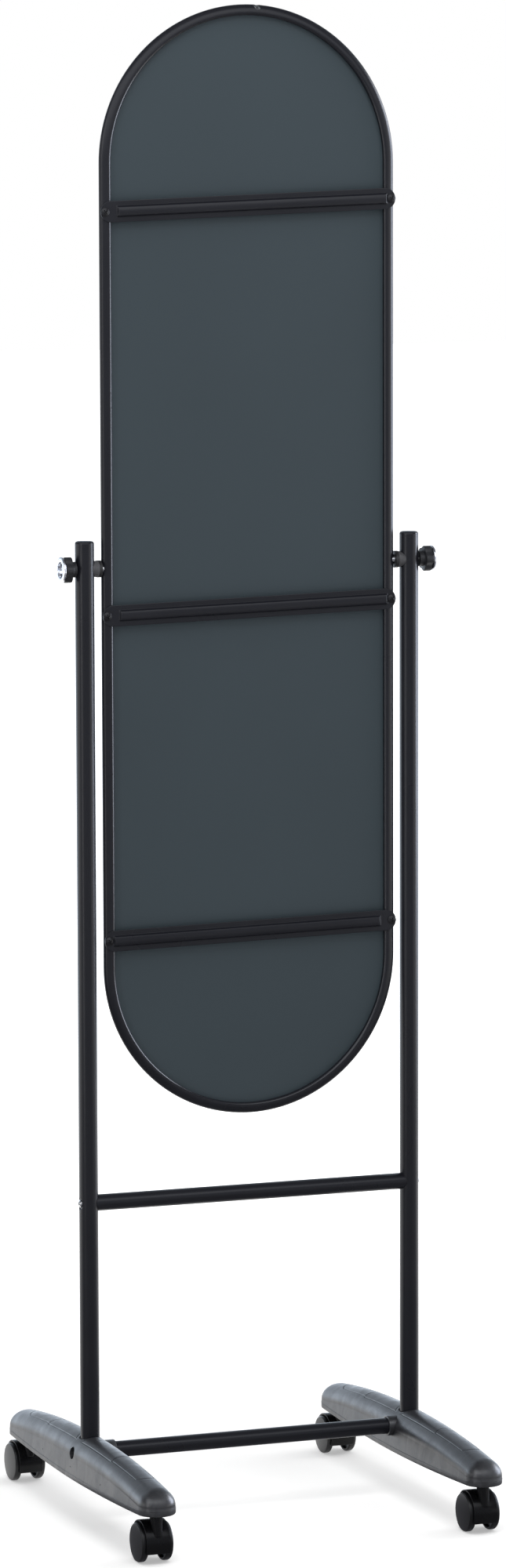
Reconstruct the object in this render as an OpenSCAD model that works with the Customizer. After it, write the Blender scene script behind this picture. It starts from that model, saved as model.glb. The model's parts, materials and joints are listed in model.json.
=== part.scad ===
// Rolling floor mirror: an oval mirror that tilts between two posts, on long feet with twin-wheel casters.
// Millimetres. Origin on the floor, midway between the posts. +Z is up and +Y the mirror's back.

/* [Mirror] */
// Height of the mirror frame's highest point above the floor
overall_height = 1740; // [1600:1900]
// Height of the mirror frame's lowest point above the floor
mirror_bottom = 466; // [430:560]
// Half of the frame's outside width, which is also the radius of its round ends
mirror_half_width = 179; // [150:200]
// Thickness of the frame's tube from front to back
frame_depth = 12; // [11:16]
// Width of the frame's closed tube, seen from the back
frame_tube_width = 10; // [9:14]
// How far the front lip reaches in over the glass
frame_lip_reach = 3; // [2:6]
// Wall of the frame's tube and lip
frame_wall = 1.2; // [0.8:1.6]
// Radius of the two fine grooves along the frame's back
frame_groove_radius = 0.5; // [0.3:0.6]
// Thickness of the mirror glass
glass_thickness = 4; // [3:5]
// Thickness of the painted film on the back of the glass
film_thickness = 0.4; // [0.3:0.8]
// Thickness of the bead that holds the glass, from front to back
bead_depth = 2.4; // [1.5:3]
// Diameter of the hole over the screw of the joiner, in the frame's outer wall
joiner_hole_diameter = 9; // [6:9]
// Distance of that hole from the frame's top centre
joiner_hole_offset = 12; // [9:16]
// How far that hole leans from straight up to the back, in degrees
joiner_hole_lean = 30; // [0:40]
// Length of the joiner inside the frame's tube, along the bend
joiner_length = 60; // [50:90]

/* [Braces] */
// Distance of the top brace's middle below the upper end of the frame's straight sides
top_brace_drop = 48; // [40:60]
// Distance of the middle brace's middle below the pivot line
middle_brace_drop = 49.5; // [45:60]
// Distance of the bottom brace's middle above the lower end of the frame's straight sides
bottom_brace_rise = 34.5; // [30:50]
// Lean of the top, middle and bottom brace, down towards +X, in degrees
brace_leans = [2, 1.5, 1.2];
// Height of each brace, seen from the back
brace_height = 24; // [18:28]
// Sheet thickness of the braces
brace_sheet = 1.2; // [1:2]
// Height of the raised rib, seen from the back
brace_rib_height = 13; // [8:16]
// How far the raised rib stands out from the flat of the brace
brace_rib_rise = 3.3; // [2:5]
// Flat length at the end with the long tab
brace_long_tab = 21; // [18:30]
// Flat length at the end with the short tab
brace_short_tab = 12; // [11.5:16]
// Distance of a brace screw from the brace's tip
brace_screw_inset = 5; // [4:6]
// Head diameter of the brace screws
brace_screw_head_diameter = 10; // [7:10]
// Shank diameter of the brace screws
brace_screw_diameter = 3.4; // [3:4]

/* [Posts and bars] */
// Outside diameter of the posts
post_diameter = 22; // [20:25]
// Wall of the posts
post_wall = 1.2; // [1:2]
// Height of the rounded top of the post caps above the pivot line
post_rise = 32; // [22:57]
// Height of the cap's rounded head above the tube
cap_head_height = 6; // [4:9]
// Rounding of the cap's edge
cap_edge_radius = 3; // [1:4]
// Length of the cap's plug inside the tube
cap_plug_length = 12; // [8:16]
// Outside diameter of the upper crossbar and the lower bar
bar_diameter = 19; // [16:19]
// Wall of both bars
bar_wall = 1.2; // [1:2]
// Height of the upper crossbar's centre line
upper_bar_height = 373; // [300:400]
// Height of the lower bar's centre line
lower_bar_height = 82.4; // [81:84]
// Length of the threaded plugs inside the bars
bar_plug_length = 20; // [14:30]
// Shank diameter of the screws that hold the bars
bar_screw_diameter = 5; // [4:6]
// Head diameter of the screws that hold the bars
bar_screw_head_diameter = 9; // [8:10]
// Head height of the screws that hold the bars
bar_screw_head_height = 3.6; // [3:4]
// Diameter of the dish pressed into the post around an upper crossbar screw
dish_diameter = 15.5; // [13:17]
// Depth of that dish below the post's outermost line
dish_depth = 1.8; // [1:2.2]

/* [Pivot and knobs] */
// Distance between the frame's side and the post, taken up by washer and spacer
pivot_gap = 9; // [8:14]
// Thickness of the friction washer
washer_thickness = 3.2; // [2:4]
// Diameter of the spacer and the washer at the frame's side
spacer_wide_diameter = 19.6; // [17:22]
// Diameter of the spacer where it meets the post
spacer_narrow_diameter = 17.5; // [15:19]
// Diameter of the pivot studs
stud_diameter = 6; // [5:8]
// Flange thickness of the rivet nuts in the frame's side
insert_flange = 0.8; // [0.6:1.2]
// Diameter of the knob's hub
knob_hub_diameter = 18; // [15:20]
// Length of the hub between post and grip
knob_hub_length = 5.6; // [4:8]
// Diameter over the lobes of the knob's grip
knob_diameter = 30; // [26:36]
// Number of lobes on the grip
knob_lobes = 5; // [5:9]
// Thickness of the grip
knob_grip_length = 9.4; // [8:14]
// Thickness of the cap's ring on the outside of the grip
knob_cap_ring = 3; // [2:4]
// Diameter of the round recess in the cap
knob_recess_diameter = 18.5; // [14:21]
// Depth of that recess
knob_recess_depth = 6; // [4:7]

/* [Feet] */
// Distance of each caster's swivel axis from the post, along the foot
caster_reach = 220; // [190:240]
// Radius of the feet's round noses in plan
nose_radius = 22; // [20:25]
// Half of a foot's width beside the post
foot_half_width = 25; // [23:28]
// Height of a foot's crest at the post above the floor
crest_height = 101.5; // [100:106]
// How far the crest falls from the post to the caster
crest_fall = 14; // [10:17]
// Height of a foot's underside at the post above the floor
underside_height = 52.5; // [51:55]
// How far the underside rises from the post to the caster
underside_rise = 5; // [3:6]
// Height of the tray's visible rim
rim_height = 4.4; // [3:6]
// How far the tray's rim stands out from the shell
rim_step = 0.8; // [0.4:1.5]
// Wall of the shell
shell_wall = 2.6; // [2:3]
// Floor of the tray
tray_floor = 2.4; // [2:3]
// Wall of the socket around the post
socket_wall = 2.6; // [2:3.4]
// How far the socket's mouth is sunk below the crest
socket_mouth_depth = 3.9; // [2:5]
// How far the collar of the lower bar stands out from the foot's side
collar_reach = 6.5; // [4:10]
// Wall of that collar
collar_wall = 2.35; // [2:3]
// Diameter of the access hole to the lower bar screw, in the foot's outer side
access_hole_diameter = 14; // [12:16]
// Distances of the tray's screws from the post, along the foot
tray_screw_places = [60, 150];
// Shank diameter of the tray's screws
tray_screw_diameter = 3.2; // [3:4]
// Diameter of the foot bolt's shank
foot_bolt_diameter = 6; // [5:8]

/* [Casters] */
// Diameter of the wheels
wheel_diameter = 45; // [40:48]
// Width of one wheel's tread
wheel_width = 8; // [7:10]
// Rounding of the wheels' edges
wheel_edge_radius = 2.2; // [1:3]
// Distance between the middles of the two wheels
wheel_pitch = 29; // [28:34]
// Distance of the wheels' axle behind the swivel axis
caster_trail = 15; // [13:18]
// Gap between the wheels' tread and the hood over it
hood_gap = 1; // [0.6:2]
// Wall of the hood over the wheels
hood_wall = 2.1; // [1.6:2.6]
// Half of the hood's width
hood_half_width = 14.5; // [13:16]
// Height of the hood's lower front edge above the floor
hood_front_edge = 12.5; // [10:16]
// Diameter of the hood's neck at its top
neck_diameter = 14; // [12:16]
// Diameter of the hood's neck at its foot
neck_foot_diameter = 9.6; // [9:12]
// Diameter of the steel stem in the foot
stem_diameter = 8; // [7:9]
// Diameter of the wheels' axle
axle_diameter = 6; // [5:7]

/* [Fits] */
// Gap between pieces that are fixed to each other
seat_gap = 0.05; // [0.02:0.08]
// Gap between pieces that move past each other
moving_gap = 0.4; // [0.3:0.6]
// Radial clearance of a pin or an axle that turns in its bore
running_clearance = 0.05; // [0.02:0.08]

/* [Hidden] */
$fn = 64;
post_radius = post_diameter / 2;
post_x = mirror_half_width + pivot_gap + post_radius;
pivot_height = (overall_height + mirror_bottom) / 2;
upper_arc_height = overall_height - mirror_half_width;
lower_arc_height = mirror_bottom + mirror_half_width;
half_depth = frame_depth / 2;
rebate_radius = mirror_half_width - frame_tube_width;
lip_radius = rebate_radius - frame_lip_reach;
glass_front = -half_depth + frame_wall + seat_gap;
glass_radius = rebate_radius - 6 * seat_gap;
film_front = glass_front + glass_thickness + seat_gap;
bead_front = film_front + film_thickness + seat_gap;
bead_radius = rebate_radius - seat_gap;
post_top = pivot_height + post_rise;
brace_heights = [upper_arc_height - top_brace_drop, pivot_height - middle_brace_drop,
    lower_arc_height + bottom_brace_rise];
brace_front = half_depth + seat_gap;
brace_half_length = mirror_half_width + 0.5;
brace_screw_x = brace_half_length - brace_screw_inset;
insert_radius = stud_diameter / 2 + 1.1;
insert_end = mirror_half_width - frame_tube_width + frame_wall + moving_gap;
washer_start = mirror_half_width + insert_flange + moving_gap;
spacer_start = washer_start + washer_thickness + seat_gap;
stud_hole_radius = stud_diameter / 2 + moving_gap;
knob_start = post_x + post_radius + moving_gap;
grip_start = knob_start + knob_hub_length;
grip_end = grip_start + knob_grip_length;
cap_end = grip_end + seat_gap + knob_cap_ring;
recess_floor = cap_end - knob_recess_depth;
cap_cup_radius = knob_recess_diameter / 2 + 1.2;
cap_cup_start = recess_floor - 1.2;
stud_end = cap_cup_start - seat_gap;
post_bottom = underside_height + 7.5;
post_tube_top = post_top - cap_head_height;
bar_radius = bar_diameter / 2;
socket_radius = post_radius + 2 * seat_gap;
mouth_height = crest_height - socket_mouth_depth;
dome_share = 0.9;
collar_start = post_x - dome_share * foot_half_width - collar_reach;
tray_boss_top = post_bottom - seat_gap;
tray_rib_half = nose_radius - shell_wall - 0.5;
swivel_pad_height = underside_height + underside_rise - 0.6;
swivel_pad_top = swivel_pad_height + 3.2;
sleeve_radius = stem_diameter / 2 + 2.5;
sleeve_start = swivel_pad_top + seat_gap;
sleeve_end = crest_height - crest_fall - shell_wall - 3.5;
stem_top = sleeve_end - 1.5;
neck_top = swivel_pad_height - moving_gap;
wheel_radius = wheel_diameter / 2;
hood_radius = wheel_radius + hood_gap + hood_wall;
wheel_inner = (wheel_pitch - wheel_width) / 2;
web_half_width = wheel_inner - moving_gap;
caster_names = ["left_back", "left_front", "right_back", "right_front"];
// Each caster's place as signs along X and Y, in the order of their names.
caster_signs = [[1, 1], [1, -1], [-1, 1], [-1, -1]];

charcoal = [0.11, 0.115, 0.125];
black = [0.05, 0.05, 0.055];
slate = [0.24, 0.28, 0.3];
silver = [0.75, 0.76, 0.78];
grey = [0.35, 0.35, 0.37];

// ---------- shared shapes ----------

// A round bar along X from x0 to x1.
module x_bar(x0, x1, radius, radius_end = 0) {
    translate([x0, 0, 0])
        rotate([0, 90, 0])
            cylinder(h = x1 - x0, r1 = radius, r2 = radius_end == 0 ? radius : radius_end);
}

// Its children on both sides of the part, mirrored.
module both_sides() {
    for (side = [0, 1])
        mirror([side, 0, 0])
            children();
}

// Its children on the left side (+X) or mirrored to the right.
module on_side(left) {
    mirror([left ? 0 : 1, 0, 0])
        children();
}

// Sweeps a flat profile, drawn at its radius in X and its depth in Y, round the mirror's oval.
module oval_sweep() {
    for (side = [0, 1])
        mirror([side, 0, 0])
            translate([0, 0, lower_arc_height])
                linear_extrude(height = upper_arc_height - lower_arc_height)
                    children();
    translate([0, 0, lower_arc_height])
        rotate([-90, 0, 0])
            rotate_extrude(angle = 180)
                children();
    translate([0, 0, upper_arc_height])
        rotate([0, 180, 0])
            rotate([-90, 0, 0])
                rotate_extrude(angle = 180)
                    children();
}

// A flat oval plate of the mirror's shape.
module oval_plate(radius, front, thickness) {
    translate([0, front + thickness, 0])
        rotate([90, 0, 0])
            linear_extrude(height = thickness)
                union() {
                    translate([0, upper_arc_height])
                        circle(r = radius, $fn = 128);
                    translate([0, lower_arc_height])
                        circle(r = radius, $fn = 128);
                    translate([-radius, lower_arc_height])
                        square([2 * radius, upper_arc_height - lower_arc_height]);
                }
}

// A screw with a domed head and a cross recess: the head sits on z = 0 and rises, the shank goes down.
module cross_screw(head_diameter, head_height, shank_diameter, shank_length) {
    rim = head_height * 0.4;
    dome = head_height - rim;
    dome_radius = (pow(head_diameter / 2, 2) + dome * dome) / (2 * dome);
    difference() {
        union() {
            cylinder(h = rim, r = head_diameter / 2);
            intersection() {
                translate([0, 0, head_height - dome_radius])
                    sphere(r = dome_radius, $fn = 96);
                translate([0, 0, rim])
                    cylinder(h = head_height, r = head_diameter / 2);
            }
            translate([0, 0, -shank_length])
                cylinder(h = shank_length + rim / 2, r = shank_diameter / 2);
        }
        for (turn = [0, 90])
            rotate([0, 0, turn])
                translate([-head_diameter * 0.28, -head_diameter * 0.06, head_height * 0.5])
                    cube([head_diameter * 0.56, head_diameter * 0.12, head_height]);
    }
}

// ---------- mirror ----------

// The frame's closed tube: square at the glass, half-round outside. An inset gives its hollow.
module frame_tube(inset) {
    half = half_depth - inset;
    centre = mirror_half_width - half_depth;
    intersection() {
        translate([centre, 0])
            circle(r = half);
        translate([centre, -half])
            square([half, 2 * half]);
    }
    translate([rebate_radius + inset, -half])
        square([centre - rebate_radius - inset, 2 * half]);
}

module frame_profile() {
    groove_x = mirror_half_width - half_depth;
    difference() {
        union() {
            frame_tube(0);
            translate([lip_radius, -half_depth])
                square([frame_lip_reach + frame_wall, frame_wall]);
        }
        frame_tube(frame_wall);
        translate([groove_x + 1.8, sqrt(pow(half_depth, 2) - pow(1.8, 2))])
            circle(r = frame_groove_radius);
        translate([groove_x - 1.8, half_depth])
            circle(r = frame_groove_radius);
    }
}

// Turns its children about the top arc's centre to the joiner's hole and leans them to the back.
module at_joiner_hole() {
    swing = asin(joiner_hole_offset / mirror_half_width);
    translate([0, 0, upper_arc_height])
        rotate([0, -swing, 0])
            translate([0, 0, mirror_half_width - half_depth])
                rotate([-joiner_hole_lean, 0, 0])
                    children();
}

module mirror_frame() {
    insert_hole = insert_radius + seat_gap;
    color(charcoal)
        difference() {
            oval_sweep()
                frame_profile();
            at_joiner_hole()
                cylinder(h = frame_depth, r = joiner_hole_diameter / 2);
            both_sides()
                translate([0, 0, pivot_height])
                    x_bar(mirror_half_width - half_depth, mirror_half_width + 1, insert_hole);
            for (index = [0 : 2])
                at_brace(index)
                    both_sides()
                        translate([brace_screw_x, 0, 0])
                            rotate([-90, 0, 0])
                                cylinder(h = frame_depth, r = brace_screw_diameter / 2 + seat_gap);
        }
}

module mirror_glass() {
    color(silver)
        oval_plate(glass_radius, glass_front, glass_thickness);
}

module backing_film() {
    color(slate)
        oval_plate(glass_radius, film_front, film_thickness);
}

module glazing_bead() {
    color(black)
        oval_sweep()
            difference() {
                translate([lip_radius, bead_front])
                    square([bead_radius - lip_radius, bead_depth]);
                translate([lip_radius, bead_front + bead_depth])
                    circle(r = bead_depth / 2);
            }
}

module frame_joiner() {
    sweep = joiner_length / (mirror_half_width - half_depth) * 180 / PI;
    color(silver)
        difference() {
            translate([0, 0, upper_arc_height])
                rotate([0, 180, 0])
                    rotate([-90, 0, 0])
                        rotate([0, 0, 90 - sweep / 2])
                            rotate_extrude(angle = sweep)
                                frame_tube(frame_wall + seat_gap);
            at_joiner_hole()
                cylinder(h = frame_depth, r = joiner_hole_diameter / 2 - 0.4);
            at_joiner_hole()
                cylinder(h = frame_depth, r = brace_screw_diameter / 2 + seat_gap, center = true);
        }
}

module frame_joiner_screw() {
    color(silver)
        at_joiner_hole()
            translate([0, 0, seat_gap])
                cross_screw(6.6, 2.2, brace_screw_diameter, frame_tube_width - half_depth - frame_wall - 0.8);
}

// Its children at one brace's middle, leaning as that brace does.
module at_brace(index) {
    translate([0, 0, brace_heights[index]])
        rotate([0, brace_leans[index], 0])
            children();
}

// One brace, with its long tab towards +X. The sheet lies on y = brace_front and the rib rises to +Y.
module brace_solid(offset_in) {
    slope = brace_rib_rise * 0.6;
    top = brace_sheet + brace_rib_rise - offset_in;
    left = -brace_half_length + brace_short_tab - slope + offset_in;
    right = brace_half_length - brace_long_tab + slope - offset_in;
    half = brace_rib_height / 2 - offset_in;
    intersection() {
        rotate([0, 90, 0])
            linear_extrude(height = 4 * brace_half_length, center = true)
                polygon([[-half, -1], [half, -1], [half, 0], [half - 1.4, top],
                    [1.4 - half, top], [-half, 0]]);
        linear_extrude(height = brace_height, center = true)
            polygon([[left, -1], [right, -1], [right, 0], [right - slope, top],
                [left + slope, top], [left, 0]]);
    }
}

module brace() {
    tip_radius = brace_height / 2;
    translate([0, brace_front, 0])
        difference() {
            union() {
                rotate([-90, 0, 0])
                    linear_extrude(height = brace_sheet)
                        union() {
                            square([2 * (brace_half_length - tip_radius), brace_height], center = true);
                            for (side = [-1, 1])
                                translate([side * (brace_half_length - tip_radius), 0])
                                    circle(r = tip_radius);
                        }
                intersection() {
                    brace_solid(0);
                    translate([0, 50, 0])
                        cube([4 * brace_half_length, 100, 100], center = true);
                }
            }
            translate([0, -seat_gap, 0])
                brace_solid(brace_sheet);
            for (side = [-1, 1])
                translate([side * brace_screw_x, -1, 0])
                    rotate([-90, 0, 0])
                        cylinder(h = brace_sheet + 2, r = brace_screw_diameter / 2 + seat_gap);
        }
}

module brace_top() {
    color(charcoal)
        at_brace(0)
            brace();
}

module brace_middle() {
    color(charcoal)
        at_brace(1)
            brace();
}

// The bottom brace is the same part, put on the other way round.
module brace_bottom() {
    color(charcoal)
        at_brace(2)
            rotate([0, 180, 0])
                brace();
}

module brace_screws() {
    color(black)
        for (index = [0 : 2])
            at_brace(index)
                both_sides()
                    translate([brace_screw_x, brace_front + brace_sheet + seat_gap, 0])
                        rotate([-90, 0, 0])
                            cross_screw(brace_screw_head_diameter, 2.4, brace_screw_diameter, 7);
}

module pivot_inserts() {
    color(silver)
        both_sides()
            translate([0, 0, pivot_height])
                difference() {
                    union() {
                        x_bar(insert_end, mirror_half_width + seat_gap, insert_radius);
                        x_bar(mirror_half_width + seat_gap, mirror_half_width + insert_flange,
                            insert_radius + 1.6);
                    }
                    x_bar(insert_end - 1, mirror_half_width + 5, stud_diameter / 2 + running_clearance);
                }
}

// ---------- posts and bars ----------

module post(left) {
    dish_floor = post_radius - dish_depth;
    color(charcoal)
        on_side(left)
            translate([post_x, 0, 0])
                difference() {
                    union() {
                        difference() {
                            translate([0, 0, post_bottom])
                                cylinder(h = post_tube_top - post_bottom, r = post_radius);
                            translate([0, 0, post_bottom - 1])
                                cylinder(h = post_tube_top - post_bottom + 2, r = post_radius - post_wall);
                        }
                        intersection() {
                            translate([0, 0, upper_bar_height])
                                x_bar(dish_floor - post_wall, post_radius, dish_diameter / 2 + post_wall);
                            translate([0, 0, upper_bar_height - dish_diameter])
                                cylinder(h = 2 * dish_diameter, r = post_radius - post_wall / 2);
                        }
                    }
                    translate([0, 0, upper_bar_height])
                        x_bar(dish_floor, post_radius + 1, dish_diameter / 2);
                    for (height = [upper_bar_height, lower_bar_height])
                        translate([0, 0, height])
                            x_bar(-post_radius - 1, post_radius + 1, bar_screw_diameter / 2 + seat_gap);
                    translate([0, 0, pivot_height])
                        x_bar(-post_radius - 1, post_radius + 1, stud_hole_radius);
                }
}

module post_cap(left) {
    plug_radius = post_radius - post_wall - seat_gap;
    color(black)
        on_side(left)
            translate([post_x, 0, post_tube_top + seat_gap])
                rotate_extrude()
                    difference() {
                        union() {
                            square([post_radius - cap_edge_radius, cap_head_height - seat_gap]);
                            square([post_radius, cap_head_height - seat_gap - cap_edge_radius]);
                            translate([post_radius - cap_edge_radius,
                                cap_head_height - seat_gap - cap_edge_radius])
                                intersection() {
                                    circle(r = cap_edge_radius);
                                    square(cap_edge_radius);
                                }
                            translate([0, -cap_plug_length])
                                square([plug_radius, cap_plug_length]);
                        }
                        translate([-1, -cap_plug_length - 1])
                            square([plug_radius - 0.6, cap_plug_length]);
                    }
}

// A tube from post to post, with its ends cut to sit on the round posts.
module saddle_bar(height) {
    reach = post_x - post_radius + bar_radius / 2;
    translate([0, 0, height])
        difference() {
            x_bar(-reach, reach, bar_radius);
            x_bar(-reach - 1, reach + 1, bar_radius - bar_wall);
            both_sides()
                translate([post_x, 0, -bar_diameter])
                    cylinder(h = 2 * bar_diameter, r = post_radius + seat_gap);
        }
}

module upper_crossbar() {
    color(charcoal)
        saddle_bar(upper_bar_height);
}

module lower_bar() {
    color(charcoal)
        saddle_bar(lower_bar_height);
}

module bar_plugs(height) {
    plug_end = post_x - post_radius - 1;
    color(grey)
        both_sides()
            translate([0, 0, height])
                difference() {
                    x_bar(plug_end - bar_plug_length, plug_end, bar_radius - bar_wall - seat_gap);
                    x_bar(plug_end - bar_plug_length - 1, plug_end + 1, bar_screw_diameter / 2 + seat_gap);
                }
}

// Bar screws, with their seat so far outside the post's outermost line.
module bar_screws(height, seat_offset) {
    seat_x = post_radius + seat_offset + seat_gap;
    length = seat_x + post_radius + bar_plug_length - 4;
    color(silver)
        both_sides()
            translate([post_x + seat_x, 0, height])
                rotate([0, 90, 0])
                    cross_screw(bar_screw_head_diameter, bar_screw_head_height, bar_screw_diameter, length);
}

// ---------- pivot and knobs ----------

module friction_washers() {
    color(black)
        both_sides()
            translate([0, 0, pivot_height])
                difference() {
                    x_bar(washer_start, washer_start + washer_thickness, spacer_wide_diameter / 2);
                    x_bar(washer_start - 1, washer_start + washer_thickness + 1, stud_hole_radius);
                }
}

module pivot_spacer(left) {
    reach = post_x - post_radius * 0.45;
    color(grey)
        on_side(left)
            translate([0, 0, pivot_height])
                difference() {
                    x_bar(spacer_start, reach, spacer_wide_diameter / 2, spacer_narrow_diameter / 2);
                    x_bar(spacer_start - 1, reach + 1, stud_hole_radius);
                    translate([post_x, 0, -post_radius * 2])
                        cylinder(h = post_radius * 4, r = post_radius + seat_gap);
                }
}

module knob_grip(left) {
    lobe_depth = knob_diameter * 0.075;
    scoop_radius = knob_diameter * 0.26;
    scoop_centre = knob_diameter / 2 + scoop_radius - lobe_depth;
    color(black)
        on_side(left)
            translate([0, 0, pivot_height])
                difference() {
                    union() {
                        x_bar(knob_start, grip_start + 1, knob_hub_diameter / 2);
                        intersection() {
                            translate([grip_start, 0, 0])
                                rotate([0, 90, 0])
                                    linear_extrude(height = knob_grip_length)
                                        difference() {
                                            circle(r = knob_diameter / 2 + 1);
                                            for (lobe = [0 : knob_lobes - 1])
                                                rotate(lobe * 360 / knob_lobes)
                                                    translate([scoop_centre, 0])
                                                        circle(r = scoop_radius);
                                        }
                            translate([grip_start, 0, 0])
                                rotate([0, 90, 0])
                                    rotate_extrude()
                                        knob_side_profile();
                        }
                    }
                    x_bar(knob_start - 1, grip_end + 1, stud_diameter / 2 + seat_gap);
                    x_bar(cap_cup_start - seat_gap, grip_end + 1, cap_cup_radius + seat_gap);
                }
}

// Half of the grip's side view: a block with both outer edges rounded.
module knob_side_profile() {
    edge = 1.6;
    reach = knob_diameter / 2;
    square([reach - edge, knob_grip_length]);
    translate([0, edge])
        square([reach, knob_grip_length - 2 * edge]);
    for (height = [edge, knob_grip_length - edge])
        translate([reach - edge, height])
            circle(r = edge);
}

module knob_cap(left) {
    ring_start = grip_end + seat_gap;
    ring_radius = knob_diameter / 2 - 0.1;
    edge = knob_cap_ring / 2;
    color(silver)
        on_side(left)
            translate([0, 0, pivot_height])
                rotate([0, 90, 0])
                    rotate_extrude()
                        difference() {
                            union() {
                                translate([0, ring_start])
                                    square([ring_radius - edge, knob_cap_ring]);
                                translate([ring_radius - edge, ring_start + edge])
                                    circle(r = edge);
                                translate([0, cap_cup_start])
                                    square([cap_cup_radius, cap_end - cap_cup_start - 0.5]);
                            }
                            translate([-1, recess_floor])
                                square([knob_recess_diameter / 2 + 1, knob_recess_depth + 1]);
                        }
}

module knob_stud(left) {
    color(silver)
        on_side(left)
            translate([0, 0, pivot_height])
                x_bar(insert_end + 1, stud_end, stud_diameter / 2);
}

// ---------- feet ----------

function crest_at(y) = crest_height - crest_fall * pow(abs(y) / caster_reach, 2.2);
function underside_at(y) = underside_height + underside_rise * pow(abs(y) / caster_reach, 2);
function half_width_at(y) =
    foot_half_width - (foot_half_width - nose_radius) * pow(abs(y) / caster_reach, 1.5);

// Stations along the foot: nose angles of 90 degrees and less, then even steps to the post, and back.
nose_angles = [84, 76, 66, 54, 40, 22];
mid_steps = 11;
half_stations = concat(
    [for (angle = nose_angles) [caster_reach + nose_radius * sin(angle), angle]],
    [for (step = [0 : mid_steps - 1]) [caster_reach * (1 - step / mid_steps), 0]]);
stations = concat(
    [for (station = half_stations) [-station[0], station[1]]],
    [[0, 0]],
    [for (index = [len(half_stations) - 1 : -1 : 0]) half_stations[index]]);

// How much of the full height and width is left at a nose angle.
function nose_height(angle) = pow(1 - pow(sin(angle), 2.4), 0.46);
function nose_width(angle) = cos(angle);

// A station's place moved in by an inset, so that an inner skin keeps its wall at the noses too.
function station_y(station, inset) =
    station[1] == 0 ? station[0]
    : sign(station[0]) * (caster_reach + (nose_radius - inset) * sin(station[1]));
function clamp_y(y) = min(abs(y), caster_reach);

// One cross-section of the domed skin: from its right base over the crest to its left base.
function dome_section(station, inset, base_drop) =
    let (
        y = clamp_y(station[0]),
        base = underside_at(y) + rim_height - base_drop,
        half = half_width_at(y) - inset,
        crest = crest_at(abs(station[0])) - inset,
        dome = dome_share * half,
        spring = crest - dome,
        wide = nose_width(station[1]),
        tall = nose_height(station[1]),
        at = station_y(station, inset),
        side = [for (step = [0 : 3]) [half + (dome - half) * step / 4, base + (spring - base) * step / 4]],
        arch = [for (turn = [0 : 12 : 180]) [dome * cos(turn), spring + dome * sin(turn)]],
        back = [for (step = [3 : -1 : 0]) [-side[step][0], side[step][1]]])
    [for (point = concat(side, arch, back)) [point[0] * wide, at, base + (point[1] - base) * tall]];

// A solid skin through cross-sections that all have the same number of points.
module loft(sections) {
    count = len(sections[0]);
    last = len(sections) - 1;
    points = [for (section = sections) for (point = section) point];
    sides = [for (row = [0 : last - 1]) for (step = [0 : count - 1])
        let (
            a = row * count + step,
            b = row * count + (step + 1) % count,
            c = (row + 1) * count + (step + 1) % count,
            d = (row + 1) * count + step)
        each [[a, b, c], [a, c, d]]];
    first_end = [for (step = [count - 1 : -1 : 0]) step];
    last_end = [for (step = [0 : count - 1]) last * count + step];
    polyhedron(points = points, faces = concat(sides, [first_end, last_end]), convexity = 8);
}

module dome_skin(inset, base_drop) {
    loft([for (station = stations) dome_section(station, inset, base_drop)]);
}

// A foot's outline in plan, grown outwards by an amount.
module plan_outline(growth) {
    places = [for (step = [-mid_steps : mid_steps]) caster_reach * step / mid_steps];
    right = [for (place = places) [half_width_at(place) + growth, place]];
    left = [for (index = [len(places) - 1 : -1 : 0]) [-right[index][0], places[index]]];
    polygon(concat(right, left));
    for (end = [-1, 1])
        translate([0, end * caster_reach])
            circle(r = nose_radius + growth);
}

// A band across the foot that follows its underside, from low to high above it.
module underside_band(low, high) {
    reach = caster_reach + 2 * nose_radius;
    places = concat([-reach],
        [for (step = [-mid_steps : mid_steps]) caster_reach * step / mid_steps], [reach]);
    bottom = [for (place = places) [place, underside_at(clamp_y(place)) + low]];
    top = [for (index = [len(places) - 1 : -1 : 0]) [places[index], bottom[index][1] + high - low]];
    rotate([90, 0, 90])
        linear_extrude(height = 3 * foot_half_width, center = true)
            polygon(concat(bottom, top));
}

// The tray's form: its plan outline between two heights above the underside.
module tray_form(growth, low, high) {
    intersection() {
        linear_extrude(height = crest_height)
            plan_outline(growth);
        underside_band(low, high);
    }
}

// Its children at both noses of a foot.
module both_noses() {
    for (end = [-1, 1])
        translate([0, end * caster_reach, 0])
            children();
}

// Its children at each tray screw, as the underside's height there.
module at_tray_screws() {
    for (place = tray_screw_places)
        for (end = [-1, 1])
            translate([0, end * place, underside_at(place)])
                children();
}

module foot_shell(left) {
    color(black)
        on_side(left)
            translate([post_x, 0, 0])
                difference() {
                    union() {
                        dome_skin(0, 0);
                        translate([0, 0, lower_bar_height])
                            x_bar(collar_start - post_x, -post_radius, bar_radius + collar_wall);
                    }
                    difference() {
                        dome_skin(shell_wall, 3);
                        shell_inside();
                    }
                    shell_bores();
                }
}

// What stands inside the shell: post socket, bar collar, sleeve sockets, screw bosses and cross ribs.
module shell_inside() {
    translate([0, 0, post_bottom + 1])
        cylinder(h = crest_height, r = socket_radius + socket_wall);
    translate([0, 0, lower_bar_height])
        x_bar(-foot_half_width, 0, bar_radius + collar_wall);
    both_noses()
        translate([0, 0, sleeve_start + 1])
            cylinder(h = crest_height, r = sleeve_radius + 2);
    at_tray_screws()
        translate([0, 0, rim_height + 2])
            cylinder(h = crest_height, r = tray_screw_diameter / 2 + 2);
    for (place = concat(tray_screw_places, [105, 192]))
        for (end = [-1, 1])
            translate([-foot_half_width, end * place - 0.9, crest_height - crest_fall - 12])
                cube([2 * foot_half_width, 1.8, crest_height]);
}

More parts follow.
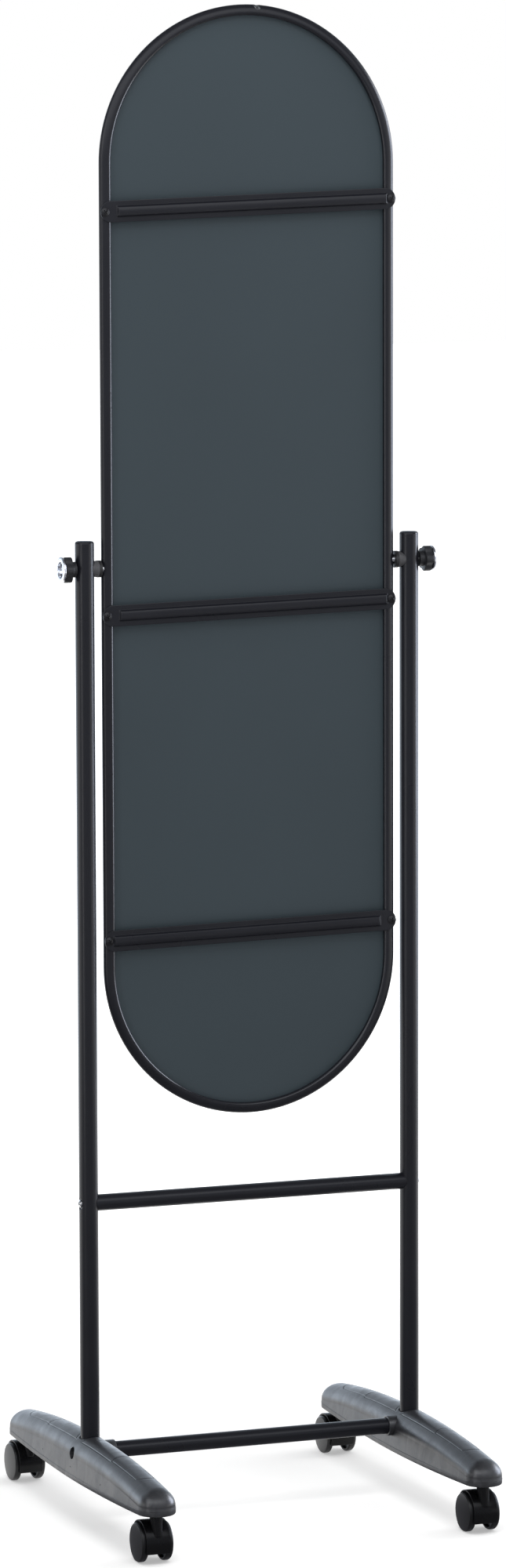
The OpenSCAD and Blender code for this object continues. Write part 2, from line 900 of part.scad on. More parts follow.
// Everything that is drilled or sunk into the shell.
module shell_bores() {
    translate([0, 0, post_bottom - 5])
        cylinder(h = crest_height, r = socket_radius);
    translate([0, 0, mouth_height])
        cylinder(h = crest_height, r = socket_radius + 1.5);
    translate([0, 0, lower_bar_height]) {
        x_bar(-foot_half_width - collar_reach - 5, 0, bar_radius + seat_gap);
        x_bar(0, foot_half_width * 2, bar_screw_head_diameter / 2 + 0.7);
        x_bar(socket_radius + socket_wall + 1, foot_half_width * 2, access_hole_diameter / 2);
    }
    both_noses()
        translate([0, 0, sleeve_start - 5])
            cylinder(h = sleeve_end - sleeve_start + 5 + seat_gap, r = sleeve_radius + seat_gap);
    at_tray_screws()
        cylinder(h = 22, r = tray_screw_diameter / 2 + seat_gap);
}

module foot_tray(left) {
    color(black)
        on_side(left)
            translate([post_x, 0, 0])
                difference() {
                    union() {
                        difference() {
                            tray_form(rim_step, 0, rim_height - 2 * seat_gap);
                            tray_form(-shell_wall, tray_floor, 2 * rim_height);
                        }
                        translate([0, 0, underside_height + 0.5])
                            cylinder(h = tray_boss_top - underside_height - 0.5, r = post_radius - post_wall);
                        both_noses()
                            translate([0, 0, swivel_pad_height])
                                cylinder(h = swivel_pad_top - swivel_pad_height, r = sleeve_radius + 3);
                        at_tray_screws()
                            translate([0, 0, 0.5])
                                cylinder(h = rim_height + 1.3, r = tray_screw_diameter / 2 + 3.4);
                        for (place = [30, 105, 190])
                            for (end = [-1, 1])
                                translate([-tray_rib_half, end * place - 0.9, underside_at(place) + 1])
                                    cube([2 * tray_rib_half, 1.8, rim_height]);
                    }
                    translate([0, 0, underside_height - 1])
                        cylinder(h = 10, r = foot_bolt_diameter / 2 + seat_gap);
                    translate([0, 0, underside_height - 1])
                        cylinder(h = 5, r = foot_bolt_diameter / 2 + 2.6);
                    both_noses()
                        translate([0, 0, swivel_pad_height - 1])
                            cylinder(h = 10, r = stem_diameter / 2 + moving_gap);
                    at_tray_screws()
                        translate([0, 0, -1])
                            cylinder(h = 12, r = tray_screw_diameter / 2 + seat_gap);
                    at_tray_screws()
                        translate([0, 0, -1])
                            cylinder(h = 4, r = tray_screw_diameter / 2 + 2);
                }
}

module tray_screws() {
    color(silver)
        both_sides()
            translate([post_x, 0, 0])
                at_tray_screws()
                    translate([0, 0, 3 - seat_gap])
                        rotate([180, 0, 0])
                            cross_screw(tray_screw_diameter + 3, 2, tray_screw_diameter, 14);
}

module post_plugs() {
    color(grey)
        both_sides()
            translate([post_x, 0, post_bottom + seat_gap])
                difference() {
                    cylinder(h = 13, r = post_radius - post_wall - seat_gap);
                    translate([0, 0, -1])
                        cylinder(h = 15, r = foot_bolt_diameter / 2 + seat_gap);
                }
}

module foot_bolts() {
    color(silver)
        both_sides()
            translate([post_x, 0, underside_height + 4 - seat_gap])
                rotate([180, 0, 0])
                    cross_screw(foot_bolt_diameter + 4, 3.2, foot_bolt_diameter, 14);
}

module stem_sleeves() {
    color(grey)
        both_sides()
            translate([post_x, 0, 0])
                both_noses()
                    translate([0, 0, sleeve_start])
                        difference() {
                            cylinder(h = sleeve_end - sleeve_start, r = sleeve_radius);
                            translate([0, 0, -1])
                                cylinder(h = sleeve_end, r = stem_diameter / 2 + running_clearance);
                        }
}

// ---------- casters ----------

// Moves its children from a swivel axis at the origin to one caster's place.
module at_caster(index) {
    translate([caster_signs[index][0] * post_x, caster_signs[index][1] * caster_reach, 0])
        children();
}

// The hood's side view, about the axle: round over the top, open below and behind.
module hood_side() {
    reach = hood_radius + 1;
    front = hood_front_edge - wheel_radius;
    intersection() {
        circle(r = hood_radius, $fn = 96);
        polygon([[reach, front], [reach, reach], [-reach, reach], [-reach, hood_radius * 0.3],
            [-hood_radius * 0.55, -axle_diameter * 0.4], [-axle_diameter, front]]);
    }
}

module caster_hood(index) {
    stem_hole = stem_diameter / 2 - 1 + seat_gap;
    neck_foot = wheel_radius + hood_radius * 0.5;
    color(black)
        at_caster(index)
            difference() {
                union() {
                    translate([0, -caster_trail, wheel_radius])
                        rotate([90, 0, 90])
                            linear_extrude(height = 2 * hood_half_width, center = true)
                                hood_side();
                    translate([0, 0, neck_foot])
                        cylinder(h = neck_top - neck_foot, d1 = neck_foot_diameter, d2 = neck_diameter);
                }
                translate([0, -caster_trail, wheel_radius]) {
                    both_sides()
                        x_bar(web_half_width, hood_half_width + 1, wheel_radius + hood_gap);
                    x_bar(-hood_half_width, hood_half_width, axle_diameter / 2 + seat_gap);
                }
                translate([0, 0, neck_foot])
                    cylinder(h = 40, r = stem_hole);
            }
}

module caster_stem(index) {
    tail_start = wheel_radius + hood_radius * 0.5 + seat_gap;
    groove_height = (sleeve_start + stem_top) / 2;
    color(silver)
        at_caster(index)
            difference() {
                union() {
                    translate([0, 0, tail_start])
                        cylinder(h = neck_top - tail_start, r = stem_diameter / 2 - 1);
                    translate([0, 0, neck_top + seat_gap])
                        cylinder(h = stem_top - neck_top - 1.5, r = stem_diameter / 2);
                    translate([0, 0, neck_top - 1])
                        cylinder(h = 2, r = stem_diameter / 2 - 1);
                    translate([0, 0, stem_top - 1.5])
                        cylinder(h = 1.5, r1 = stem_diameter / 2, r2 = stem_diameter / 2 - 1.2);
                }
                translate([0, 0, groove_height])
                    rotate_extrude()
                        translate([stem_diameter / 2, 0])
                            circle(r = 0.8);
            }
}

module caster_axle(index) {
    color(silver)
        at_caster(index)
            translate([0, -caster_trail, wheel_radius])
                x_bar(-wheel_pitch / 2 - 1, wheel_pitch / 2 + 1, axle_diameter / 2);
}

// Half of a wheel's cross-section: radius in X, and Y outwards from the wheel's inner face.
module wheel_profile() {
    hub = axle_diameter / 2 + 3.5;
    rim = wheel_radius - 3.2;
    disc = wheel_radius - 0.9;
    disc_height = wheel_width + 1.4;
    disc_curve = (disc * disc + 1.6 * 1.6) / (2 * 1.6);
    bore_depth = wheel_pitch / 2 + 1.4 - wheel_inner;
    difference() {
        union() {
            square([wheel_radius - wheel_edge_radius, wheel_width]);
            translate([0, wheel_edge_radius])
                square([wheel_radius, wheel_width - 2 * wheel_edge_radius]);
            for (height = [wheel_edge_radius, wheel_width - wheel_edge_radius])
                translate([wheel_radius - wheel_edge_radius, height])
                    circle(r = wheel_edge_radius);
            intersection() {
                translate([0, disc_height - disc_curve])
                    circle(r = disc_curve, $fn = 256);
                translate([0, wheel_width - 1])
                    square([disc, 4]);
            }
        }
        translate([-wheel_radius, -1])
            square([wheel_radius + axle_diameter / 2 + running_clearance, bore_depth + 1]);
        translate([hub, -1])
            square([rim - hub, wheel_width - 2.5 + 1]);
        translate([-2 * wheel_radius, -wheel_width])
            square([2 * wheel_radius, 4 * wheel_width]);
    }
}

// One wheel, on the caster's left (+X) or right side.
module caster_wheel(index, left) {
    color(grey)
        at_caster(index)
            translate([0, -caster_trail, wheel_radius])
                on_side(left)
                    translate([wheel_inner, 0, 0])
                        rotate([0, 90, 0])
                            rotate_extrude($fn = 96)
                                wheel_profile();
}

post(true);  // post_left
post(false);  // post_right
post_cap(true);  // post_cap_left
post_cap(false);  // post_cap_right
upper_crossbar();
lower_bar();
bar_plugs(upper_bar_height);  // upper_bar_plugs
bar_plugs(lower_bar_height);  // lower_bar_plugs
bar_screws(upper_bar_height, -dish_depth);  // upper_bar_screws
bar_screws(lower_bar_height, 0);  // lower_bar_screws
foot_shell(true);  // foot_shell_left
foot_shell(false);  // foot_shell_right
foot_tray(true);  // foot_tray_left
foot_tray(false);  // foot_tray_right
tray_screws();
post_plugs();
foot_bolts();
stem_sleeves();
pivot_spacer(true);  // pivot_spacer_left
pivot_spacer(false);  // pivot_spacer_right
friction_washers();
mirror_frame();
mirror_glass();
backing_film();
glazing_bead();
brace_top();
brace_middle();
brace_bottom();
brace_screws();
pivot_inserts();
frame_joiner();
frame_joiner_screw();
knob_grip(true);  // knob_grip_left
knob_cap(true);  // knob_cap_left
knob_stud(true);  // knob_stud_left
knob_grip(false);  // knob_grip_right
knob_cap(false);  // knob_cap_right
knob_stud(false);  // knob_stud_right
caster_hood(0);  // hood_left_back
caster_stem(0);  // stem_left_back
caster_axle(0);  // axle_left_back
caster_wheel(0, true);  // wheel_left_back_outer
caster_wheel(0, false);  // wheel_left_back_inner
caster_hood(1);  // hood_left_front
caster_stem(1);  // stem_left_front
caster_axle(1);  // axle_left_front
caster_wheel(1, true);  // wheel_left_front_outer
caster_wheel(1, false);  // wheel_left_front_inner
caster_hood(2);  // hood_right_back
caster_stem(2);  // stem_right_back
caster_axle(2);  // axle_right_back
caster_wheel(2, false);  // wheel_right_back_outer
caster_wheel(2, true);  // wheel_right_back_inner
caster_hood(3);  // hood_right_front
caster_stem(3);  // stem_right_front
caster_axle(3);  // axle_right_front
caster_wheel(3, false);  // wheel_right_front_outer
caster_wheel(3, true);  // wheel_right_front_inner
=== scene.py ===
"""Dresses the rolling floor mirror: an oval mirror tilting between two posts on long feet with casters."""

import json
import math

import bmesh
import bpy
from mathutils import Matrix, Vector


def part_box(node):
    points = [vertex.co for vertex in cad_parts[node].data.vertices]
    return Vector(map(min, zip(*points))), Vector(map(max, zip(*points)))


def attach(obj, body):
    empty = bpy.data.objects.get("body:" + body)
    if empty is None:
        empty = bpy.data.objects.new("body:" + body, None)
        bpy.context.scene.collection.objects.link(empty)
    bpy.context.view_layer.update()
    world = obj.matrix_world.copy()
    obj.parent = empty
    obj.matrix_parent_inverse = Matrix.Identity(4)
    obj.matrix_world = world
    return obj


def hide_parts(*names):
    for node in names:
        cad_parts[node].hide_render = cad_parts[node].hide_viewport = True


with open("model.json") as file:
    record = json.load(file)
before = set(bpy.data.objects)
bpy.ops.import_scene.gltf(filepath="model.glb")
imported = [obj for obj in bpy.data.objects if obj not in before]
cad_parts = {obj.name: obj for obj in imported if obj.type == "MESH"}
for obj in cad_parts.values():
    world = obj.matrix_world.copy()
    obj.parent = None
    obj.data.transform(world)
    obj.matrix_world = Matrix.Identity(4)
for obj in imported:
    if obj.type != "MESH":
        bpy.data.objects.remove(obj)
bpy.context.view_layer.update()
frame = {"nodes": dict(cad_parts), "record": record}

bl_info = {
    "name": "Rolling floor mirror",
    "version": (1, 0, 0),
    "blender": (4, 5, 0),
    "location": "View3D > Sidebar > Floor mirror",
    "description": "Builds the visible pieces and finishes of a rolling floor mirror",
    "category": "Add Mesh",
}

MM = 0.001
CASTERS = {"left_back": 1, "left_front": 1, "right_back": -1, "right_front": -1}


def middle(node, axis):
    """The middle of a CAD node's box along one axis."""
    low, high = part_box(node)
    return (low[axis] + high[axis]) / 2


def reach(node, axis):
    """The far side of a CAD node's box along one axis."""
    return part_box(node)[1][axis]


POST_X = middle("post_left", 0)
POST_RADIUS = (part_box("post_left")[1][0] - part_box("post_left")[0][0]) / 2
PIVOT_Z = middle("friction_washers", 2)
MIRROR_TOP = reach("mirror_frame", 2)
MIRROR_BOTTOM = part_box("mirror_frame")[0][2]
MIRROR_RADIUS = reach("mirror_frame", 0)
BRACES = ("brace_top", "brace_middle", "brace_bottom")
SEAT_GAP = 0.05 * MM
JOINER_HOLE = 4.5  # radius in millimetres


# ---------- settings a user would change ----------

def length_setting(name, description, millimetres):
    """A length, given in millimetres."""
    return bpy.props.FloatProperty(
        name=name, description=description, default=millimetres * MM, subtype="DISTANCE")


def colour_setting(name, description, shade):
    """A linear colour."""
    return bpy.props.FloatVectorProperty(name=name, description=description, default=shade, subtype="COLOR")


class MirrorSizes(bpy.types.PropertyGroup):
    """Sizes of the mirror's own pieces."""

    frame_depth: length_setting("Frame depth", "Frame tube from front to back", 12)
    frame_tube: length_setting("Frame tube width", "Closed tube of the frame seen from the back", 10)
    frame_roll: length_setting(
        "Frame roll", "How far the frame's rounded side reaches in from its outer edge", 8.5)
    bead_width: length_setting("Bead width", "Glazing bead seen from the back", 2.25)
    lip_reach: length_setting("Lip reach", "Front lip over the glass", 3)
    frame_wall: length_setting("Frame wall", "Wall of the frame's tube", 1.2)
    arc_segments: bpy.props.IntProperty(
        name="Bend steps", description="Steps round each half-round end", default=72, min=12)
    brace_rib: length_setting("Rib height", "Raised rib of a brace seen from the back", 13)
    brace_rise: length_setting("Rib rise", "How far the rib stands out", 3.3)
    long_tab: length_setting("Long tab", "Flat end of a brace at its long tab", 21)
    short_tab: length_setting("Short tab", "Flat end of a brace at its short tab", 12)
    brace_height: length_setting("Brace height", "Height of a brace seen from the back", 24)
    brace_leans: bpy.props.FloatVectorProperty(
        name="Brace leans", description="Lean of the top, middle and bottom brace, down towards +X",
        default=[math.radians(lean) for lean in (2.0, 1.5, 1.2)], subtype="EULER")


class StandSizes(bpy.types.PropertyGroup):
    """Sizes of the stand's own pieces."""

    dish_radius: length_setting("Dish radius", "Dish pressed into a post round the crossbar screw", 7.75)
    dish_depth: length_setting("Dish depth", "Depth of that dish", 1.8)
    cap_edge: length_setting("Cap rounding", "Rounded edge of the post caps", 3)
    knob_lobes: bpy.props.IntProperty(
        name="Knob lobes", description="Lobes round a knob's grip", default=5, min=3)
    lobe_depth: length_setting("Lobe depth", "Hollow between two lobes", 2.2)
    groove_depth: length_setting("Foot groove depth", "Panel outline on a foot's crest", 0.5)


class FinishColours(bpy.types.PropertyGroup):
    """Colours of the finishes, linear."""

    coat: colour_setting("Frame coat", "Powder coat of tubes, frame and braces", (0.0098, 0.0104, 0.0142))
    moulding: colour_setting("Moulded black", "Feet, caps and grips", (0.0125, 0.0132, 0.0155))
    film: colour_setting("Mirror back", "Painted film behind the glass", (0.0355, 0.0515, 0.0615))
    disc: colour_setting("Wheel disc", "Outer discs of the caster wheels", (0.16, 0.162, 0.168))
    spacer: colour_setting("Spacer", "Pivot spacers", (0.06, 0.06, 0.065))
    floor: colour_setting("Floor", "Studio floor and backdrop", (0.86, 0.86, 0.86))


# ---------- mesh helpers ----------

def plain_mesh(name, points, faces):
    """An object with a new mesh at the origin."""
    mesh = bpy.data.meshes.new(name)
    mesh.from_pydata([tuple(point) for point in points], [], faces)
    mesh.validate()
    piece = bpy.data.objects.new(name, mesh)
    bpy.context.scene.collection.objects.link(piece)
    return piece


def face_outwards(piece, merge=1e-6):
    """Merges doubles and turns all faces of a closed shape outwards."""
    shape = bmesh.new()
    shape.from_mesh(piece.data)
    bmesh.ops.remove_doubles(shape, verts=shape.verts, dist=merge)
    bmesh.ops.recalc_face_normals(shape, faces=shape.faces)
    shape.to_mesh(piece.data)
    shape.free()


def settle(piece):
    """Turns a piece with modifiers into a plain mesh."""
    graph = bpy.context.evaluated_depsgraph_get()
    mesh = bpy.data.meshes.new_from_object(piece.evaluated_get(graph))
    old = piece.data
    piece.modifiers.clear()
    piece.data = mesh
    bpy.data.meshes.remove(old)
    mesh.name = piece.name


def combine(piece, tool, operation):
    """Cuts a tool piece out of a piece, or joins it on, and removes the tool."""
    step = piece.modifiers.new("Shape", "BOOLEAN")
    step.operation = operation
    step.solver = "EXACT"
    step.object = tool
    settle(piece)
    bpy.data.objects.remove(tool)


def soften(piece, width, angle, segments):
    """Rounds the sharp edges of a piece."""
    step = piece.modifiers.new("Soft edges", "BEVEL")
    step.width = width
    step.segments = segments
    step.limit_method = "ANGLE"
    step.angle_limit = math.radians(angle)
    step.harden_normals = False
    settle(piece)


def finish_piece(piece, body, finish, nodes, angle=40):
    """Gives a finished piece its shading, place in the frame and finishes, named with spaces between."""
    piece.data.shade_smooth()
    piece.data.set_sharp_from_angle(angle=math.radians(angle))
    piece.data.materials.clear()
    for name in finish.split():
        piece.data.materials.append(FINISHES[name])
    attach(piece, body)
    if nodes:
        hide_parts(*nodes)


def finish_pair(piece, body, finish, node, angle=40):
    """Finishes a left piece and its mirror image; SIDE in a name stands for left or right."""
    other = mirrored(piece, piece.name.replace("left", "right"))
    for side, each in (("left", piece), ("right", other)):
        finish_piece(each, body.replace("SIDE", side), finish, [node.replace("SIDE", side)], angle)


def ring_faces(rings, count, closed_ring=True):
    """Quads between rings of points that follow each other."""
    faces = []
    for ring in range(rings - 1):
        for step in range(count if closed_ring else count - 1):
            a = ring * count + step
            b = ring * count + (step + 1) % count
            faces.append((a, b, b + count, a + count))
    return faces


def capped_rings(name, points, count):
    """A closed piece from rings of points that follow each other, with flat ends."""
    faces = ring_faces(len(points) // count, count)
    faces.append(tuple(reversed(range(count))))
    faces.append(tuple(range(len(points) - count, len(points))))
    piece = plain_mesh(name, points, faces)
    face_outwards(piece, 1e-7)
    return piece


def turns(count):
    """Cosine and sine of equal steps round a circle."""
    for step in range(count):
        turn = 2 * math.pi * step / count
        yield math.cos(turn), math.sin(turn)


def turned(name, profile, place, segments=96):
    """A lathe piece: profile of (radius, height) turned round an axis that place maps into the frame.

    place takes (cosine part, sine part, height) and returns the point in the frame.
    """
    return capped_rings(name, [
        place(radius * cosine, radius * sine, height)
        for radius, height in profile for cosine, sine in turns(segments)], segments)


def in_mm(profile, start=0.0):
    """A lathe profile given in millimetres, with its heights counted from a start."""
    return [(radius * MM, start + height * MM) for radius, height in profile]


def along_x(x, y, z, sign=1):
    """A place function for a lathe axis along X through (x, y, z)."""
    return lambda c, s, h: (x + sign * h, y + c, z + s)


def along_z(x, y):
    """A place function for an upright lathe axis through (x, y)."""
    return lambda c, s, h: (x + c, y + s, h)


def along(matrix):
    """A place function for a lathe axis along a matrix's own Z."""
    return lambda c, s, h: tuple(matrix @ Vector((c, s, h)))


def arc(centre_r, centre_h, radius, start, end, steps):
    """Profile points on an arc, angles in degrees from the outward direction."""
    out = []
    for step in range(steps + 1):
        turn = math.radians(start + (end - start) * step / steps)
        out.append((centre_r + radius * math.cos(turn), centre_h + radius * math.sin(turn)))
    return out


def mirrored(piece, name):
    """A copy of a piece on the other side of the part (X turned over)."""
    copy = piece.copy()
    copy.data = piece.data.copy()
    copy.name = copy.data.name = name
    bpy.context.scene.collection.objects.link(copy)
    copy.data.transform(Matrix.Diagonal((-1, 1, 1, 1)))
    copy.data.flip_normals()
    return copy


def smoothstep(low, high, value):
    """0 below low, 1 above high, with soft ends."""
    part = min(1.0, max(0.0, (value - low) / (high - low)))
    return part * part * (3 - 2 * part)


# ---------- node trees ----------

def feed(tree, node, inputs):
    """Links each of a node's inputs that is given as a socket, and sets the others."""
    for key, value in inputs.items():
        if isinstance(value, bpy.types.NodeSocket):
            tree.links.new(value, node.inputs[key])
        else:
            node.inputs[key].default_value = value
    return node


def output_of(tree, kind, output, inputs=None, **settings):
    """One output of a new node with these settings and inputs."""
    node = tree.nodes.new(kind)
    for name, value in settings.items():
        setattr(node, name, value)
    return feed(tree, node, inputs or {}).outputs[output]


def new_tree(kind, name, inputs):
    """A node tree and its inputs, each given as a socket type or as a float socket's default."""
    tree = bpy.data.node_groups.new(name, kind)
    for label, value in inputs.items():
        number = isinstance(value, float)
        item = tree.interface.new_socket(
            name=label, in_out="INPUT", socket_type="NodeSocket" + ("Float" if number else value))
        if number:
            item.default_value = value
    return tree, tree.nodes.new("NodeGroupInput").outputs


def put_out(tree, outputs, kind="Float"):
    """Gives a node tree its outputs."""
    for label in outputs:
        tree.interface.new_socket(name=label, in_out="OUTPUT", socket_type="NodeSocket" + kind)
    feed(tree, tree.nodes.new("NodeGroupOutput"), outputs)
    return tree


def tree_named(name, maker):
    """A node tree that is made once."""
    return bpy.data.node_groups.get(name) or maker()


def calculate(tree, operation, *values):
    """The result of a maths node over sockets and numbers."""
    return output_of(tree, "ShaderNodeMath", 0, dict(enumerate(values)), operation=operation)


def put_out_painted(tree, given, geometry):
    """Makes a geometry tree's instances real, paints them and puts them out."""
    real = output_of(tree, "GeometryNodeRealizeInstances", "Geometry", {"Geometry": geometry})
    painted = output_of(tree, "GeometryNodeSetMaterial", "Geometry", {
        "Geometry": real, "Material": given["Material"]})
    return put_out(tree, {"Geometry": painted}, "Geometry")


def sweep_tree():
    """Sweeps a flat profile round an oval of two half circles and two straight sides."""
    tree, given = new_tree("GeometryNodeTree", "Oval sweep", {
        "Geometry": "Geometry", "Profile": "Object", "Width": "Float", "Height": "Float",
        "Centre height": "Float", "Bend steps": "Int", "Material": "Material"})
    box = output_of(tree, "GeometryNodeCurvePrimitiveQuadrilateral", "Curve", {
        "Width": given["Width"], "Height": given["Height"]})
    nearly_half = 0.49999
    bend = output_of(tree, "GeometryNodeFilletCurve", "Curve", {
        "Curve": box, "Count": calculate(tree, "DIVIDE", given["Bend steps"], 2),
        "Radius": calculate(tree, "MULTIPLY", given["Width"], nearly_half)}, mode="POLY")
    upright = output_of(tree, "GeometryNodeSetCurveNormal", "Curve", {"Curve": bend}, mode="Z_UP")
    section = output_of(tree, "GeometryNodeObjectInfo", "Geometry", {"Object": given["Profile"]})
    swept = output_of(tree, "GeometryNodeCurveToMesh", "Mesh", {"Curve": upright, "Profile Curve": section})
    lift = output_of(tree, "ShaderNodeCombineXYZ", "Vector", {"Z": given["Centre height"]})
    standing = output_of(tree, "GeometryNodeTransform", "Geometry", {
        "Geometry": swept, "Translation": lift, "Rotation": (math.radians(90), 0, 0)})
    return put_out_painted(tree, given, standing)


def places_tree():
    """Puts a copy of the piece at every point of a places object, each turned as its point says."""
    tree, given = new_tree("GeometryNodeTree", "Fastener places", {
        "Geometry": "Geometry", "Places": "Object", "Turn spread": "Float", "Seed": "Int",
        "Material": "Material"})
    places = output_of(tree, "GeometryNodeObjectInfo", "Geometry", {"Object": given["Places"]})
    facing = output_of(tree, "GeometryNodeInputNamedAttribute", 0, {"Name": "facing"},
                       data_type="FLOAT_VECTOR")
    float_maximum, float_result = 3, 1
    chance = output_of(tree, "FunctionNodeRandomValue", float_result, {
        float_maximum: given["Turn spread"], "Seed": given["Seed"]}, data_type="FLOAT")
    copies = output_of(tree, "GeometryNodeInstanceOnPoints", "Instances", {
        "Points": places, "Instance": given["Geometry"], "Rotation": facing})
    spin = output_of(tree, "ShaderNodeCombineXYZ", "Vector", {"Z": chance})
    turned_copies = output_of(tree, "GeometryNodeRotateInstances", "Instances", {
        "Instances": copies, "Rotation": spin})
    return put_out_painted(tree, given, turned_copies)


def run_tree(piece, name, maker, values):
    """Runs a geometry tree on a piece, with its inputs set by their socket identifiers."""
    step = piece.modifiers.new(name, "NODES")
    step.node_group = tree_named(name, maker)
    for item in step.node_group.interface.items_tree:
        if item.item_type == "SOCKET" and item.in_out == "INPUT" and item.name in values:
            step[item.identifier] = values[item.name]
    settle(piece)


def swept_oval(name, loops, sizes, finish):
    """A piece swept round the mirror's oval from closed profile loops of (outward, depth) points."""
    curve = bpy.data.curves.new(name + "_profile", "CURVE")
    curve.dimensions = "3D"
    for loop in loops:
        spline = curve.splines.new("POLY")
        spline.points.add(len(loop) - 1)
        for point, (outward, depth) in zip(spline.points, loop):
            point.co = (outward, depth, 0, 1)
        spline.use_cyclic_u = True
    profile = bpy.data.objects.new(name + "_profile", curve)
    bpy.context.scene.collection.objects.link(profile)
    piece = plain_mesh(name, [(0, 0, 0)], [])
    run_tree(piece, "Oval sweep", sweep_tree, {
        "Profile": profile, "Width": 2 * (MIRROR_RADIUS - sizes.frame_depth / 2),
        "Height": MIRROR_TOP - MIRROR_BOTTOM - sizes.frame_depth,
        "Centre height": (MIRROR_TOP + MIRROR_BOTTOM) / 2,
        "Bend steps": sizes.arc_segments, "Material": FINISHES[finish]})
    bpy.data.objects.remove(profile)
    bpy.data.curves.remove(curve)
    face_outwards(piece)
    return piece


def placed_copies(name, pattern, places, seed, finish):
    """Copies of a pattern piece at places: a list of (point, turn in radians about X, Y and Z)."""
    points = plain_mesh(name + "_places", [place for place, _ in places], [])
    facing = points.data.attributes.new("facing", "FLOAT_VECTOR", "POINT")
    for index, (_, turn) in enumerate(places):
        facing.data[index].vector = turn
    run_tree(pattern, "Fastener places", places_tree, {
        "Places": points, "Turn spread": 6.0, "Seed": seed, "Material": FINISHES[finish]})
    bpy.data.objects.remove(points)
    pattern.name = pattern.data.name = name
    return pattern


# ---------- finishes ----------

def object_place(tree):
    """The object coordinates."""
    return output_of(tree, "ShaderNodeTexCoord", "Object")


def along_axis(tree, vector, axis):
    """One part of a vector."""
    return output_of(tree, "ShaderNodeSeparateXYZ", axis, {"Vector": vector})


def multiplied(tree, vector, by):
    """A vector times another, part by part."""
    return output_of(tree, "ShaderNodeVectorMath", "Vector", {0: vector, 1: by}, operation="MULTIPLY")


def noise(tree, place, scale, detail, roughness=0.55, distortion=0.0):
    """A noise mask."""
    return output_of(tree, "ShaderNodeTexNoise", "Fac", {
        "Vector": place, "Scale": scale, "Detail": detail, "Roughness": roughness,
        "Distortion": distortion})


def map_range(tree, value, low, high, to_low=0.0, to_high=1.0, soft=False):
    """A value mapped from one range to another, with soft ends if asked for."""
    return output_of(tree, "ShaderNodeMapRange", "Result", {
        "Value": value, "From Min": low, "From Max": high, "To Min": to_low, "To Max": to_high,
    }, interpolation_type="SMOOTHSTEP" if soft else "LINEAR")


def spread(tree, mask, ends):
    """A value between two ends, by a mask."""
    return map_range(tree, mask, 0.0, 1.0, *ends)


def grain_group():
    """Fine surface relief and slow, uneven patches, as masks from 0 to 1."""
    group, given = new_tree("ShaderNodeTree", "Grain and patches", {
        "Grain scale": 1500.0, "Patch scale": 18.0, "Patch contrast": 1.0})
    place = object_place(group)
    slow = noise(group, place, given["Patch scale"], 1.0, 0.5)
    return put_out(group, {
        "Grain": noise(group, place, given["Grain scale"], 3.0),
        "Patches": map_range(group, slow, 0.2, 0.8, 0.0, given["Patch contrast"])})


def flow_group():
    """Flow marks and uneven sheen of a long moulding, and thin lines over its ribs, which are both shallow
    sink grooves and a painted highlight; 0 to 1.
    """
    group, given = new_tree("ShaderNodeTree", "Flow marks", {"Fineness": 1.0, "Rib pitch": 50 * MM})
    place = object_place(group)
    masks = {}
    for output, stretch, scale, low, high in (
            ("Marks", (1.0, 1.0, 0.8), 85.0, 0.38, 0.68), ("Sheen", (0.6, 0.8, 0.45), 38.0, 0.36, 0.64)):
        size = calculate(group, "MULTIPLY", given["Fineness"], scale)
        lines = noise(group, multiplied(group, place, stretch), size, 6.0, 0.62, 1.6)
        masks[output] = map_range(group, lines, low, high)
    # Ribs: lines over the ribs, a real shallow groove in the relief and a painted highlight where they make
    # the base colour paler
    half_pitch = calculate(group, "MULTIPLY", given["Rib pitch"], 0.5)
    wave = calculate(group, "PINGPONG", along_axis(group, place, "Y"), half_pitch)
    masks["Ribs"] = map_range(group, wave, 0.8 * MM, 0.2 * MM)
    return put_out(group, masks)


def scuff_group():
    """Thin rub marks that run one way, and scattered specks, as masks from 0 to 1."""
    group, given = new_tree("ShaderNodeTree", "Rub marks", {
        "Line scale": 60.0, "Stretch": 0.06, "Amount": 0.5})
    place = object_place(group)
    squeeze = output_of(group, "ShaderNodeCombineXYZ", "Vector", {
        "X": 1.0, "Y": 1.0, "Z": given["Stretch"]})
    lines = noise(group, multiplied(group, place, squeeze), given["Line scale"], 4.0, 0.7)
    dots = output_of(group, "ShaderNodeTexVoronoi", "Distance", {"Vector": place, "Scale": 420.0})
    return put_out(group, {
        "Rub": map_range(group, lines, 0.6, 0.78, 0.0, given["Amount"]),
        "Specks": map_range(group, dots, 0.16, 0.1, 0.0, given["Amount"])})


def group_masks(tree, name, maker, values):
    """The masks of a shared group with a material's own values."""
    node = tree.nodes.new("ShaderNodeGroup")
    node.node_tree = tree_named(name, maker)
    return feed(tree, node, values).outputs


def grain_masks(tree, grain_scale, patch_scale):
    """The masks of the grain group."""
    return group_masks(tree, "Grain and patches", grain_group, {
        "Grain scale": grain_scale, "Patch scale": patch_scale})


def blend(tree, factor, first, second):
    """A colour between two, by a mask; the first may be a socket."""
    if not isinstance(first, bpy.types.NodeSocket):
        first = (*first, 1)
    return output_of(tree, "ShaderNodeMix", "Result", {"A": first, "B": (*second, 1), "Factor": factor},
                     data_type="RGBA")


def bump(tree, height, depth, strength):
    """Relief from a height mask."""
    return output_of(tree, "ShaderNodeBump", "Normal", {
        "Strength": strength, "Distance": depth, "Height": height})


def tint(colour, factor):
    """A colour made lighter or darker."""
    return tuple(part * factor for part in colour)


def new_finish(name, **constants):
    """A material, its tree and its Principled shader with these constants."""
    material = bpy.data.materials.new(name)
    material.use_nodes = True
    shader = material.node_tree.nodes["Principled BSDF"]
    for label, value in constants.items():
        shader.inputs[label.replace("_", " ").title().replace("Ior", "IOR")].default_value = value
    return material, material.node_tree, shader


